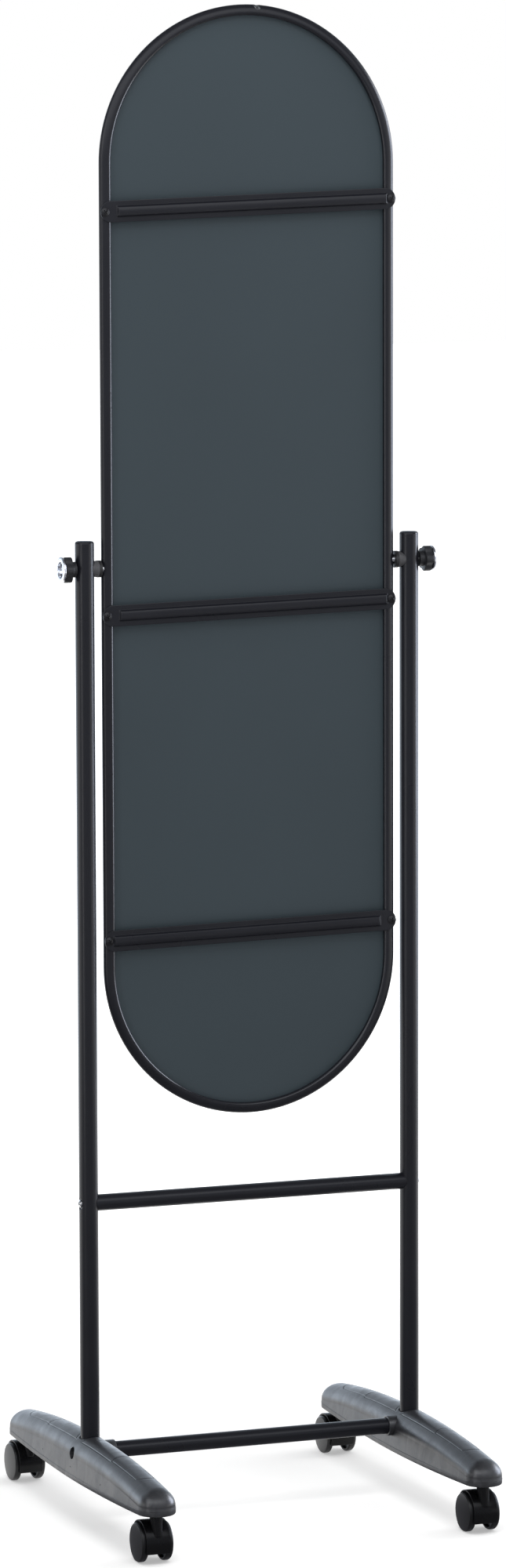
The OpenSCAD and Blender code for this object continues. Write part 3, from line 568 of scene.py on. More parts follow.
def grained_finish(name, colour, second, rough, grain_scale, grain_depth, specks=0.12, **constants):
    """A coated or moulded surface: two close colours in patches, uneven gloss and fine relief."""
    material, tree, shader = new_finish(name, **constants)
    grain = grain_masks(tree, grain_scale, 14.0)
    rub = group_masks(tree, "Rub marks", scuff_group, {"Amount": specks})
    paler = tuple(min(1, part * 2.2 + 0.01) for part in second)
    feed(tree, shader, {
        "Base Color": blend(tree, rub["Specks"], blend(tree, grain["Patches"], colour, second), paler),
        "Roughness": spread(tree, grain["Patches"], rough),
        "Normal": bump(tree, grain["Grain"], grain_depth * MM, 0.35)})
    return material


def brushed_finish(name, colour, second, rough, stretch):
    """Bare or plated metal with fine lines and a little uneven gloss."""
    material, tree, shader = new_finish(name, metallic=1.0)
    rub = group_masks(tree, "Rub marks", scuff_group, {
        "Line scale": 900.0, "Stretch": stretch, "Amount": 1.0})
    feed(tree, shader, {
        "Base Color": blend(tree, grain_masks(tree, 2600.0, 60.0)["Patches"], colour, second),
        "Roughness": spread(tree, rub["Rub"], rough),
        "Normal": bump(tree, rub["Rub"], 0.01 * MM, 0.4)})
    return material


def streaked_finish(name, colour, second, rough):
    """Glossy moulded plastic with faint flow marks, uneven sheen, and sink lines over its ribs: shallow
    grooves, with a painted highlight as paler base colour along them.
    """
    material, tree, shader = new_finish(name, specular_ior_level=0.95)
    marks = group_masks(tree, "Flow marks", flow_group, {"Fineness": 1.0})
    base = blend(tree, marks["Marks"], colour, second)
    relief = calculate(tree, "MULTIPLY_ADD", grain_masks(tree, 1300.0, 30.0)["Grain"], 0.3, marks["Marks"])
    relief = calculate(tree, "MULTIPLY_ADD", marks["Ribs"], -1.6, relief)
    feed(tree, shader, {
        # the paler base colour along the rib lines is a painted highlight; the groove itself is in the relief
        "Base Color": blend(tree, spread(tree, marks["Ribs"], (0.0, 0.4)), base, tint(second, 2.2)),
        "Roughness": spread(tree, marks["Sheen"], rough),
        "Normal": bump(tree, relief, 0.06 * MM, 0.35)})
    return material


def film_finish(colour):
    """The painted back of the glass: even slate paint with faint roller texture and clouding."""
    material, tree, shader = new_finish("slate_mirror_back", specular_ior_level=0.35)
    grain = grain_masks(tree, 700.0, 5.0)
    feed(tree, shader, {
        "Base Color": blend(tree, grain["Patches"], colour, tint(colour, 1.09)),
        "Roughness": spread(tree, grain["Patches"], (0.52, 0.6)),
        "Normal": bump(tree, grain["Grain"], 0.05 * MM, 0.5)})
    return material


def glass_finish():
    """Silvered glass seen from the front: a bright mirror with a trace of green and of haze."""
    material, tree, shader = new_finish("silvered_glass", metallic=1.0, coat_weight=0.3)
    grain = grain_masks(tree, 90.0, 3.0)
    feed(tree, shader, {
        "Base Color": blend(tree, grain["Patches"], (0.84, 0.868, 0.862), (0.86, 0.885, 0.88)),
        "Roughness": spread(tree, grain["Grain"], (0.008, 0.03))})
    return material


FINISHES = {}


def make_finishes(colours):
    """All finishes of the part, by the record's slot names and a few of the scene's own."""
    coat, moulding, disc, spacer = (
        tuple(getattr(colours, name)) for name in ("coat", "moulding", "disc", "spacer"))
    # slot, material name, two colours, ends of the roughness, grain per metre, its relief in mm, the rest
    for slot, name, colour, second, rough, grain_scale, grain_depth, rest in (
            ("charcoal_coat", "satin_charcoal_coat", coat, tint(coat, 1.18), (0.26, 0.31), 1100.0, 0.01,
             {"specks": 0.0, "specular_ior_level": 0.32}),
            ("black_moulding", "moulded_black_plastic", moulding, tint(moulding, 1.3), (0.38, 0.5),
             2100.0, 0.06, {}),
            ("bead_moulding", "satin_bead_plastic", coat, tint(coat, 1.2), (0.2, 0.26), 1500.0, 0.01,
             {"specks": 0.0, "specular_ior_level": 0.5}),
            ("grey_moulding", "dark_grey_plastic", spacer, tint(spacer, 1.2), (0.5, 0.62), 1900.0, 0.06, {}),
            ("black_rubber", "black_rubber", (0.012, 0.012, 0.013), (0.018, 0.018, 0.019), (0.42, 0.55),
             1700.0, 0.05, {}),
            ("black_screw", "blackened_screw", (0.012, 0.012, 0.014), (0.02, 0.02, 0.023), (0.25, 0.36),
             2400.0, 0.02, {"metallic": 0.4}),
            ("caster_black", "caster_hood_plastic", (0.004, 0.004, 0.0046), (0.006, 0.006, 0.0068),
             (0.22, 0.3), 1800.0, 0.02, {"specular_ior_level": 0.2}),
            ("wheel_black", "wheel_tread_plastic", (0.005, 0.005, 0.0056), (0.008, 0.008, 0.009),
             (0.26, 0.36), 1500.0, 0.03, {"specular_ior_level": 0.35}),
            ("wheel_grey", "wheel_disc_plastic", disc, tint(disc, 1.15), (0.34, 0.44), 2000.0, 0.04, {})):
        FINISHES[slot] = grained_finish(name, colour, second, rough, grain_scale, grain_depth, **rest)
    FINISHES["foot_moulding"] = streaked_finish(
        "moulded_foot_plastic", tint(moulding, 1.1), tint(moulding, 2.0), (0.3, 0.43))
    FINISHES["slate_back"] = film_finish(tuple(colours.film))
    FINISHES["plated_steel"] = brushed_finish(
        "plated_steel", (0.56, 0.57, 0.58), (0.66, 0.66, 0.66), (0.2, 0.36), 0.2)
    FINISHES["bright_cap"] = brushed_finish(
        "bright_cap_metal", (0.8, 0.82, 0.86), (0.86, 0.87, 0.9), (0.16, 0.24), 1.0)
    FINISHES["mirror_glass"] = glass_finish()


# ---------- fasteners ----------

def cross_screw(name, head, rise, shank, length):
    """A domed screw with a cross recess: head on z = 0, rising to +Z, with its shank below."""
    edge, chamfer = rise * 0.32, 0.3 * MM
    profile = [(shank / 2, -length), (shank / 2, 0), (head / 2 - chamfer, 0), (head / 2, chamfer)]
    for step in range(12):
        part = step / 12
        profile.append((head / 2 * math.cos(part * math.pi / 2) ** 0.8, edge + (rise - edge) * part ** 1.6))
    profile.append((0.02 * MM, rise))
    piece = turned(name, profile, along_z(0, 0), 48)
    wide, thin, deep = head * 0.29, head * 0.06, rise * 0.75
    for half_x, half_y in ((wide, thin), (thin, wide)):
        low = [(x * half_x * 0.8, y * half_y * 0.8) for x, y in ((-1, -1), (1, -1), (1, 1), (-1, 1))]
        points = [(x, y, rise - deep) for x, y in low] + [(x * 1.3, y * 1.3, rise * 1.3) for x, y in low]
        combine(piece, plain_mesh("slot", points, [
            (3, 2, 1, 0), (4, 5, 6, 7), (0, 1, 5, 4), (1, 2, 6, 5), (2, 3, 7, 6), (3, 0, 4, 7)]),
            "DIFFERENCE")
    return piece


class FLOORMIRROR_OT_fasteners(bpy.types.Operator):
    """Make the visible cross-head screws of braces and bars"""

    bl_idname = "floor_mirror.fasteners"
    bl_label = "Screws"

    def execute(self, context):
        sizes = context.scene.floor_mirror_sizes
        rise = 2.4 * MM
        inset = 5 * MM
        seat = reach("brace_screws", 1) - rise
        places = []
        for node, lean in zip(BRACES, sizes.brace_leans):
            screw_x = brace_half_length(node, sizes, lean) - inset
            for side in (1, -1):
                across, height = leaned(side * screw_x, 0, middle(node, 2), lean)
                places.append(((across, seat, height), (math.radians(-90), 0, 0)))
        self.place("brace_screw", "mirror", "black_screw", ["brace_screws"], places,
                   (10 * MM, rise, 3.4 * MM, 4 * MM), 3)
        rise = 3.6 * MM
        for name, seed in (("upper_bar_screw", 5), ("lower_bar_screw", 8)):
            node = name + "s"
            places = [((side * (reach(node, 0) - rise), 0, middle(node, 2)), (0, math.radians(90 * side), 0))
                      for side in (1, -1)]
            self.place(name, "stand", "plated_steel", [node], places, (9 * MM, rise, 5 * MM, 20 * MM), seed)
        return {"FINISHED"}

    def place(self, name, body, finish, nodes, places, screw, seed):
        """Copies of one screw, given as its head, rise, shank and length."""
        screws = placed_copies(name + "_heads", cross_screw(name, *screw), places, seed, finish)
        finish_piece(screws, body, finish, nodes)


# ---------- mirror ----------

def frame_loops(sizes):
    """The frame's outer and inner profile loops, outward from the tube's middle line, and depth."""
    half = sizes.frame_depth / 2
    inner = -(sizes.frame_tube - half)
    lip = inner - sizes.lip_reach
    wall = sizes.frame_wall
    soft = 0.15 * MM
    roll = sizes.frame_roll
    outer = [(half - roll + roll * math.cos(math.radians(step * 3.75 - 90)),
              half * math.sin(math.radians(step * 3.75 - 90))) for step in range(49)]
    outer += arc(inner + soft, half - soft, soft, 90, 180, 3)
    outer += [(inner, -half + wall + 0.3 * MM), (inner - 0.3 * MM, -half + wall)]
    outer += [(lip + 0.3 * MM, -half + wall), (lip, -half + wall - 0.3 * MM)]
    outer += [(lip, -half + 0.4 * MM), (lip + 0.4 * MM, -half)]
    hollow = half - wall
    inside = [(half - roll + (roll - wall) * math.cos(math.radians(step * 15 - 90)),
               hollow * math.sin(math.radians(step * 15 - 90))) for step in range(13)]
    inside += [(inner + wall, hollow), (inner + wall, -hollow)]
    return [outer, list(reversed(inside))]


class FLOORMIRROR_OT_mirror_frame(bpy.types.Operator):
    """Make the bent frame tube and the bead that holds the glass"""

    bl_idname = "floor_mirror.mirror_frame"
    bl_label = "Mirror frame and bead"

    def execute(self, context):
        sizes = context.scene.floor_mirror_sizes
        half = sizes.frame_depth / 2
        middle_radius = MIRROR_RADIUS - half
        ring = swept_oval("mirror_frame_tube", frame_loops(sizes), sizes, "charcoal_coat")
        swing = math.asin(12 * MM / MIRROR_RADIUS)
        lean = math.radians(30)
        turn = (Matrix.Translation((0, 0, MIRROR_TOP - MIRROR_RADIUS)) @ Matrix.Rotation(-swing, 4, "Y")
                @ Matrix.Translation((0, 0, middle_radius)) @ Matrix.Rotation(-lean, 4, "X"))
        hole = in_mm([(JOINER_HOLE, 0), (JOINER_HOLE, 12)])
        combine(ring, turned("hole_tool", hole, along(turn), 48), "DIFFERENCE")
        finish_piece(ring, "mirror", "charcoal_coat", ["mirror_frame"])
        self.make_hole_edge(turn, half)
        low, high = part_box("glazing_bead")
        outward = high[0] - middle_radius
        inward = outward - sizes.bead_width
        crown, slope, fall = half - 0.12 * MM, 1.95 * MM, 1.25 * MM
        loop = [(inward, low[1]), (outward, low[1]), (outward, crown - 0.1 * MM), (outward - 0.1 * MM, crown),
                (inward + slope + 0.15 * MM, crown), (inward + slope - 0.1 * MM, crown - 0.06 * MM),
                (inward + 0.1 * MM, crown - fall), (inward, crown - fall - 0.15 * MM)]
        bead = swept_oval("glazing_bead_strip", [loop], sizes, "bead_moulding")
        finish_piece(bead, "mirror", "bead_moulding", ["glazing_bead"])
        return {"FINISHED"}

    def make_hole_edge(self, turn, half):
        """The bare metal edge of the drilled hole, following the round tube."""
        inner, count = 4.3, 64
        points = []
        for radius, rise in in_mm([(inner, -1.0), (inner, -0.12), (JOINER_HOLE, -0.02), (JOINER_HOLE, -1.0)]):
            for cosine, sine in turns(count):
                across = radius * sine
                skin = math.sqrt(half ** 2 - across ** 2)
                points.append(tuple(turn @ Vector((radius * cosine, across, skin + rise))))
        faces = ring_faces(4, count) + [(3 * count + step, 3 * count + (step + 1) % count,
                                         (step + 1) % count, step) for step in range(count)]
        ring = plain_mesh("joiner_hole_edge", points, faces)
        face_outwards(ring, 1e-7)
        finish_piece(ring, "mirror", "plated_steel", [])


def brace_height_at(x, z, half_length, sizes):
    """How far a brace's outer face stands above its flat at a point, long tab towards +X."""
    rib_half = sizes.brace_rib / 2
    crown = 0.4 + 0.6 * math.sqrt(1 - min(1.0, abs(z) / rib_half) ** 2)
    across = crown * (1 - smoothstep(rib_half - 1.9 * MM, rib_half + 0.3 * MM, abs(z)))
    left = half_length - sizes.short_tab
    right = half_length - sizes.long_tab
    along_rib = smoothstep(-left - 2.4 * MM, -left + 0.6 * MM, x)
    along_rib *= 1 - smoothstep(right - 0.6 * MM, right + 2.4 * MM, x)
    return sizes.brace_rise * across * along_rib


def brace_half_length(node, sizes, lean):
    """Half of a brace's own length, from the box of the leaning brace with its round tips."""
    low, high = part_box(node)
    tip = sizes.brace_height / 2
    return ((high[0] - low[0]) / 2 - tip) / math.cos(lean) + tip


def leaned(x, z, centre, lean):
    """A point on a leaning brace, from its own length and height coordinates."""
    return x * math.cos(lean) + z * math.sin(lean), centre + z * math.cos(lean) - x * math.sin(lean)


class FLOORMIRROR_OT_braces(bpy.types.Operator):
    """Make the pressed steel braces across the mirror's back"""

    bl_idname = "floor_mirror.braces"
    bl_label = "Braces"

    def execute(self, context):
        sizes = context.scene.floor_mirror_sizes
        for node, lean in zip(BRACES, sizes.brace_leans):
            self.make_brace(node, sizes, lean, flipped=node == "brace_bottom")
        return {"FINISHED"}

    def make_brace(self, node, sizes, lean, flipped):
        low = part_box(node)[0]
        half_height = sizes.brace_height / 2
        half_length = brace_half_length(node, sizes, lean)
        centre = middle(node, 2)
        sheet = 1.2 * MM
        tips = [half_height * math.sin(math.radians(6 * step)) for step in range(15, -1, -1)]
        straight = half_length - half_height
        stations = [-(straight + tip) for tip in tips] + [straight + tip for tip in reversed(tips)]
        for edge in (-half_length + sizes.short_tab, half_length - sizes.long_tab):
            stations += [edge + offset * 0.5 * MM for offset in range(-7, 8)]
        stations += [-straight + straight * 2 * step / 36 for step in range(1, 36)]
        stations = sorted(set(round(value, 6) for value in stations))
        heights = [half_height * (step / 16 - 1) for step in range(33)]
        for edge in (-1, 1):
            heights += [edge * (sizes.brace_rib / 2 + offset * 0.3 * MM) for offset in range(-7, 3)]
        heights = sorted(set(round(value, 6) for value in heights))
        side = -1 if flipped else 1
        points, count, rows = [], len(heights), len(stations)
        for skin in (sheet, 0.0):
            for x in stations:
                limit = half_height
                if abs(x) > straight:
                    limit = math.sqrt(max(0.0, half_height ** 2 - (abs(x) - straight) ** 2))
                for z in heights:
                    z = z * limit / half_height if limit < half_height else z
                    rise = brace_height_at(x, z, half_length, sizes)
                    across, height = leaned(side * x, side * z, centre, lean)
                    points.append((across, low[1] + skin + rise, height))
        skin_size = rows * count
        faces = []
        for a, b, c, d in ring_faces(rows, count, closed_ring=False):
            faces += [(a, b, c, d), (a + skin_size, d + skin_size, c + skin_size, b + skin_size)]
        rim = [row * count for row in range(rows)]
        rim += [(rows - 1) * count + step for step in range(1, count)]
        rim += [row * count + count - 1 for row in range(rows - 2, -1, -1)]
        rim += [step for step in range(count - 2, 0, -1)]
        for here, after in zip(rim, rim[1:] + rim[:1]):
            faces.append((here, after, after + skin_size, here + skin_size))
        brace = plain_mesh(node + "_pressing", points, faces)
        face_outwards(brace, 2e-6)
        soften(brace, 0.25 * MM, 50, 1)
        finish_piece(brace, "mirror", "charcoal_coat", [node], 50)


# ---------- posts and bars ----------

class FLOORMIRROR_OT_posts(bpy.types.Operator):
    """Make the posts with their pressed dishes, and the caps on top"""

    bl_idname = "floor_mirror.posts"
    bl_label = "Posts and caps"

    def execute(self, context):
        sizes = context.scene.floor_mirror_stand
        finish_pair(self.make_post(sizes), "stand", "charcoal_coat", "post_SIDE", 30)
        finish_pair(self.make_cap(sizes.cap_edge), "stand", "charcoal_coat", "post_cap_SIDE",
                    30)
        return {"FINISHED"}

    def make_post(self, sizes):
        low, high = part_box("post_left")
        screw_z = middle("upper_crossbar", 2)
        floor_x = POST_RADIUS - sizes.dish_depth
        dish = sizes.dish_radius
        heights = [low[2], screw_z - 30 * MM]
        heights += [screw_z + step * 0.5 * MM for step in range(-22, 23)]
        heights += [screw_z + 30 * MM, high[2] - 5 * MM, high[2] - 0.05 * MM, high[2]]
        segments = 144
        points = []
        for z in heights:
            radius = POST_RADIUS - (0.04 * MM if z == high[2] else 0.0)
            for cosine, sine in turns(segments):
                x, y = radius * cosine, radius * sine
                if x > 0:
                    away = math.hypot(y, z - screw_z)
                    rim = smoothstep(dish * 0.74, dish * 1.06, away)
                    x = min(x, floor_x + (POST_RADIUS * 1.12 - floor_x) * rim)
                points.append((POST_X + x, y, z))
        return capped_rings("post_tube_left", points, segments)

    def make_cap(self, edge):
        start, top = reach("post_left", 2), reach("post_cap_left", 2)
        profile = [(POST_RADIUS - 1 * MM, start - 1 * MM), (POST_RADIUS - 0.3 * MM, start + 0.02 * MM),
                   (POST_RADIUS - 0.04 * MM, start + 0.03 * MM), (POST_RADIUS, start + 0.08 * MM),
                   (POST_RADIUS, top - edge - 0.4 * MM)]
        profile += arc(POST_RADIUS - edge, top - edge, edge, 0, 82, 10)
        profile += [(POST_RADIUS * 0.55, top - 0.02 * MM), (0.2 * MM, top)]
        return turned("post_cap_moulding_left", profile, along_z(POST_X, 0))


def saddle_x(y):
    """How far out along X a piece that meets a post reaches at a distance y from the post's middle."""
    return POST_X - math.sqrt((POST_RADIUS + SEAT_GAP) ** 2 - y ** 2)


class FLOORMIRROR_OT_bars(bpy.types.Operator):
    """Make the upper crossbar and the lower bar with saddle-cut ends"""

    bl_idname = "floor_mirror.bars"
    bl_label = "Crossbars"

    def execute(self, context):
        segments = 96
        for node, name in (("upper_crossbar", "upper_crossbar_tube"), ("lower_bar", "lower_bar_tube")):
            low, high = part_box(node)
            centre = (high[2] + low[2]) / 2
            points = []
            for side, gap in ((-1, 0.0), (-1, 0.6), (-1, 30), (1, 30), (1, 0.6), (1, 0.0)):
                radius = (high[2] - low[2]) / 2 - (0.25 * MM if gap == 0 else 0)
                for cosine, sine in turns(segments):
                    y = radius * cosine
                    points.append((side * (saddle_x(y) - gap * MM), y, centre + radius * sine))
            finish_piece(capped_rings(name, points, segments), "stand", "charcoal_coat", [node],
                         30)
        return {"FINISHED"}


# ---------- pivot and knobs ----------

class FLOORMIRROR_OT_knobs(bpy.types.Operator):
    """Make the clamping knobs with lobed grips and bright cupped caps, and the pivot spacers"""

    bl_idname = "floor_mirror.knobs"
    bl_label = "Knobs and spacers"

    def execute(self, context):
        grip = self.make_grip(context.scene.floor_mirror_stand)
        finish_pair(grip, "knob_SIDE", "black_moulding", "knob_grip_SIDE")
        finish_pair(self.make_cap(), "knob_SIDE", "bright_cap", "knob_cap_SIDE")
        finish_pair(self.make_spacer(), "stand", "grey_moulding", "pivot_spacer_SIDE")
        return {"FINISHED"}

    def make_grip(self, sizes):
        low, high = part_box("knob_grip_left")
        hub_end = high[0] - 9.4 * MM
        hub, wide = 9 * MM, 15 * MM
        edge, back_edge = 1.9 * MM, 0.9 * MM
        # radius, place along the axis, and how far the lobes show there
        rings = [(hub - 0.3 * MM, low[0], 0), (hub, low[0] + 0.3 * MM, 0), (hub, hub_end - 0.8 * MM, 0),
                 (hub + 0.2 * MM, hub_end - 0.25 * MM, 0.1), (hub + 1 * MM, hub_end, 0.3),
                 (wide - back_edge, hub_end, 1)]
        for step in range(1, 7):
            turn = math.radians(15 * step)
            rings.append((wide - back_edge + back_edge * math.sin(turn),
                          hub_end + back_edge * (1 - math.cos(turn)), 1))
        rings += [(radius, x, 1) for radius, x in arc(wide - edge, high[0] - edge, edge, 0, 90, 6)]
        rings.append((10.8 * MM, high[0], 0.4))
        segments = 160
        points = []
        for radius, x, lobed in rings:
            for step, (cosine, sine) in enumerate(turns(segments)):
                lobes = math.cos(sizes.knob_lobes * 2 * math.pi * step / segments)
                r = radius - sizes.lobe_depth * lobed * (0.5 - 0.5 * lobes) ** 1.4
                points.append((x, r * cosine, PIVOT_Z + r * sine))
        return capped_rings("knob_lobed_grip_left", points, segments)

    def make_cap(self):
        low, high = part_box("knob_cap_left")
        wide = (high[2] - low[2]) / 2
        start = reach("knob_grip_left", 0) + SEAT_GAP
        edge = (high[0] - start) / 2
        recess, mouth_edge, floor_edge = 9.25 * MM, 0.7 * MM, 0.9 * MM
        floor_x = high[0] - 6 * MM
        profile = [(10 * MM, start)]
        profile += arc(wide - edge, start + edge, edge, -90, 90, 14)
        profile += arc(recess + mouth_edge, high[0] - mouth_edge, mouth_edge, 90, 180, 5)
        profile += [(recess, floor_x + floor_edge)]
        profile += arc(recess - floor_edge, floor_x + floor_edge, floor_edge, 0, -90, 5)
        profile += [(4 * MM, floor_x), (3.6 * MM, floor_x + 0.25 * MM), (0.1 * MM, floor_x + 0.4 * MM)]
        return turned("knob_bright_cap_left", profile, along_x(0, 0, PIVOT_Z), 128)

    def make_spacer(self):
        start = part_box("pivot_spacer_left")[0][0]
        wide, narrow = 9.8 * MM, 8.8 * MM
        segments = 96
        points = []
        for radius, part in ((wide - 0.4 * MM, 0.0), (wide, 0.08), (narrow + 0.3 * MM, 0.8), (narrow, 1.0)):
            for cosine, sine in turns(segments):
                y = radius * cosine
                points.append((start + (saddle_x(y) - start) * part, y, PIVOT_Z + radius * sine))
        return capped_rings("pivot_bush_left", points, segments)


# ---------- feet ----------

# the dome of a foot: its share of the foot's half-width, and the section parameter where it ends
DOME_SHARE = 0.9
DOME_END = 0.7


class FootForm:
    """The outside of a foot, by the same rules as its solids."""

    def __init__(self):
        tray_low, tray_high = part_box("foot_tray_left")
        self.nose = 22 * MM
        self.caster = reach("foot_shell_left", 1) - self.nose
        self.rim_step = 0.4 * MM
        self.half = (tray_high[0] - tray_low[0]) / 2 - self.rim_step
        self.crest = 101.5 * MM
        self.fall = 14 * MM
        self.under = tray_low[2]
        self.under_rise = 5 * MM
        self.rim = 6.2 * MM
        self.nose_fall = 0.14
        self.nose_blunt = 0.88

    def share(self, y):
        return min(abs(y), self.caster) / self.caster

    def crest_at(self, y):
        return self.crest - self.fall * (abs(y) / self.caster) ** 2.2

    def under_at(self, y):
        return self.under + self.under_rise * self.share(y) ** 2

    def half_at(self, y):
        return self.half - (self.half - self.nose) * self.share(y) ** 1.5

    def section(self, y_mid, angle, params):
        """Cross-section points at a station, for parameters from -1 (left base) over 0 (crest) to 1.

        Past the casters the end section turns about the caster's upright axis by the angle.
        """
        y_mid = math.copysign(min(abs(y_mid), self.caster), y_mid)
        base = self.under_at(y_mid) + self.rim
        half = self.half_at(y_mid)
        crest = self.crest_at(y_mid)
        spring = crest - DOME_SHARE * half
        dome = half - 0.1 * half * min(1.0, (spring - base) / (16 * MM))
        out = []
        for param in params:
            part = abs(param)
            if part > DOME_END:
                low = (1 - part) / (1 - DOME_END)
                x, z = half + (dome - half) * low, base + (spring - base) * low
            else:
                turn = part / DOME_END * math.pi / 2
                x, z = dome * math.sin(turn), spring + (crest - spring) * math.cos(turn)
            height = (z - base) / (crest - base)
            blunt = self.nose_blunt - 0.12 * height
            ahead = x * max(0.0, math.sin(angle)) ** blunt
            side = x * max(0.0, math.cos(angle)) ** blunt
            out.append((math.copysign(side, param), y_mid + math.copysign(ahead, y_mid),
                        z - self.nose_fall * ahead * height))
        return out

    def side_x(self, y, z):
        """Half-width of the drafted side at a height."""
        base = self.under_at(y) + self.rim
        spring = self.crest_at(y) - DOME_SHARE * self.half_at(y)
        return self.half_at(y) * (1 - 0.1 * (z - base) / (spring - base))


PANEL_CROSS = 108 * MM
PANEL_END = 190 * MM
POST_RING = 16.5 * MM
GROOVE_HALF = 0.75 * MM


def panel_half(away):
    """Half-width of a crest panel at a distance from the post: wide beside it, narrower further out."""
    if away < PANEL_CROSS:
        return 14.2 * MM - 0.007 * away
    return 12.3 * MM - 0.022 * (away - PANEL_CROSS)


def cross_line(y, side_x):
    """Where the cross line of a foot's crest lies at a distance from the middle: rounded on the +Y side."""
    share = side_x / (13 * MM)
    return PANEL_CROSS + (0.8 * MM * share ** 2 if y < 0 else 9 * MM * max(0.0, share - 0.25) ** 3 - 1.5 * MM)


def groove_at(form, y, param):
    """1 in the middle of a panel's outline on the crest, 0 outside it."""
    side_x = DOME_SHARE * form.half_at(y) * math.sin(min(1.0, abs(param) / DOME_END) * math.pi / 2)
    away, near = abs(y), 1.0
    half = panel_half(away)
    if side_x > half + 2 * GROOVE_HALF or away > PANEL_END + 2 * GROOVE_HALF:
        return 0.0
    end = PANEL_END - (6 if y > 0 else 10) * MM * (side_x / half) ** 3
    if side_x <= half:
        near = min(abs(away - cross_line(y, side_x)), abs(away - end),
                   abs(math.hypot(away, side_x) - POST_RING))
    if math.hypot(away, side_x) > POST_RING and away < end:
        near = min(near, abs(side_x - half))
    return max(0.0, 1 - (near / GROOVE_HALF) ** 2)


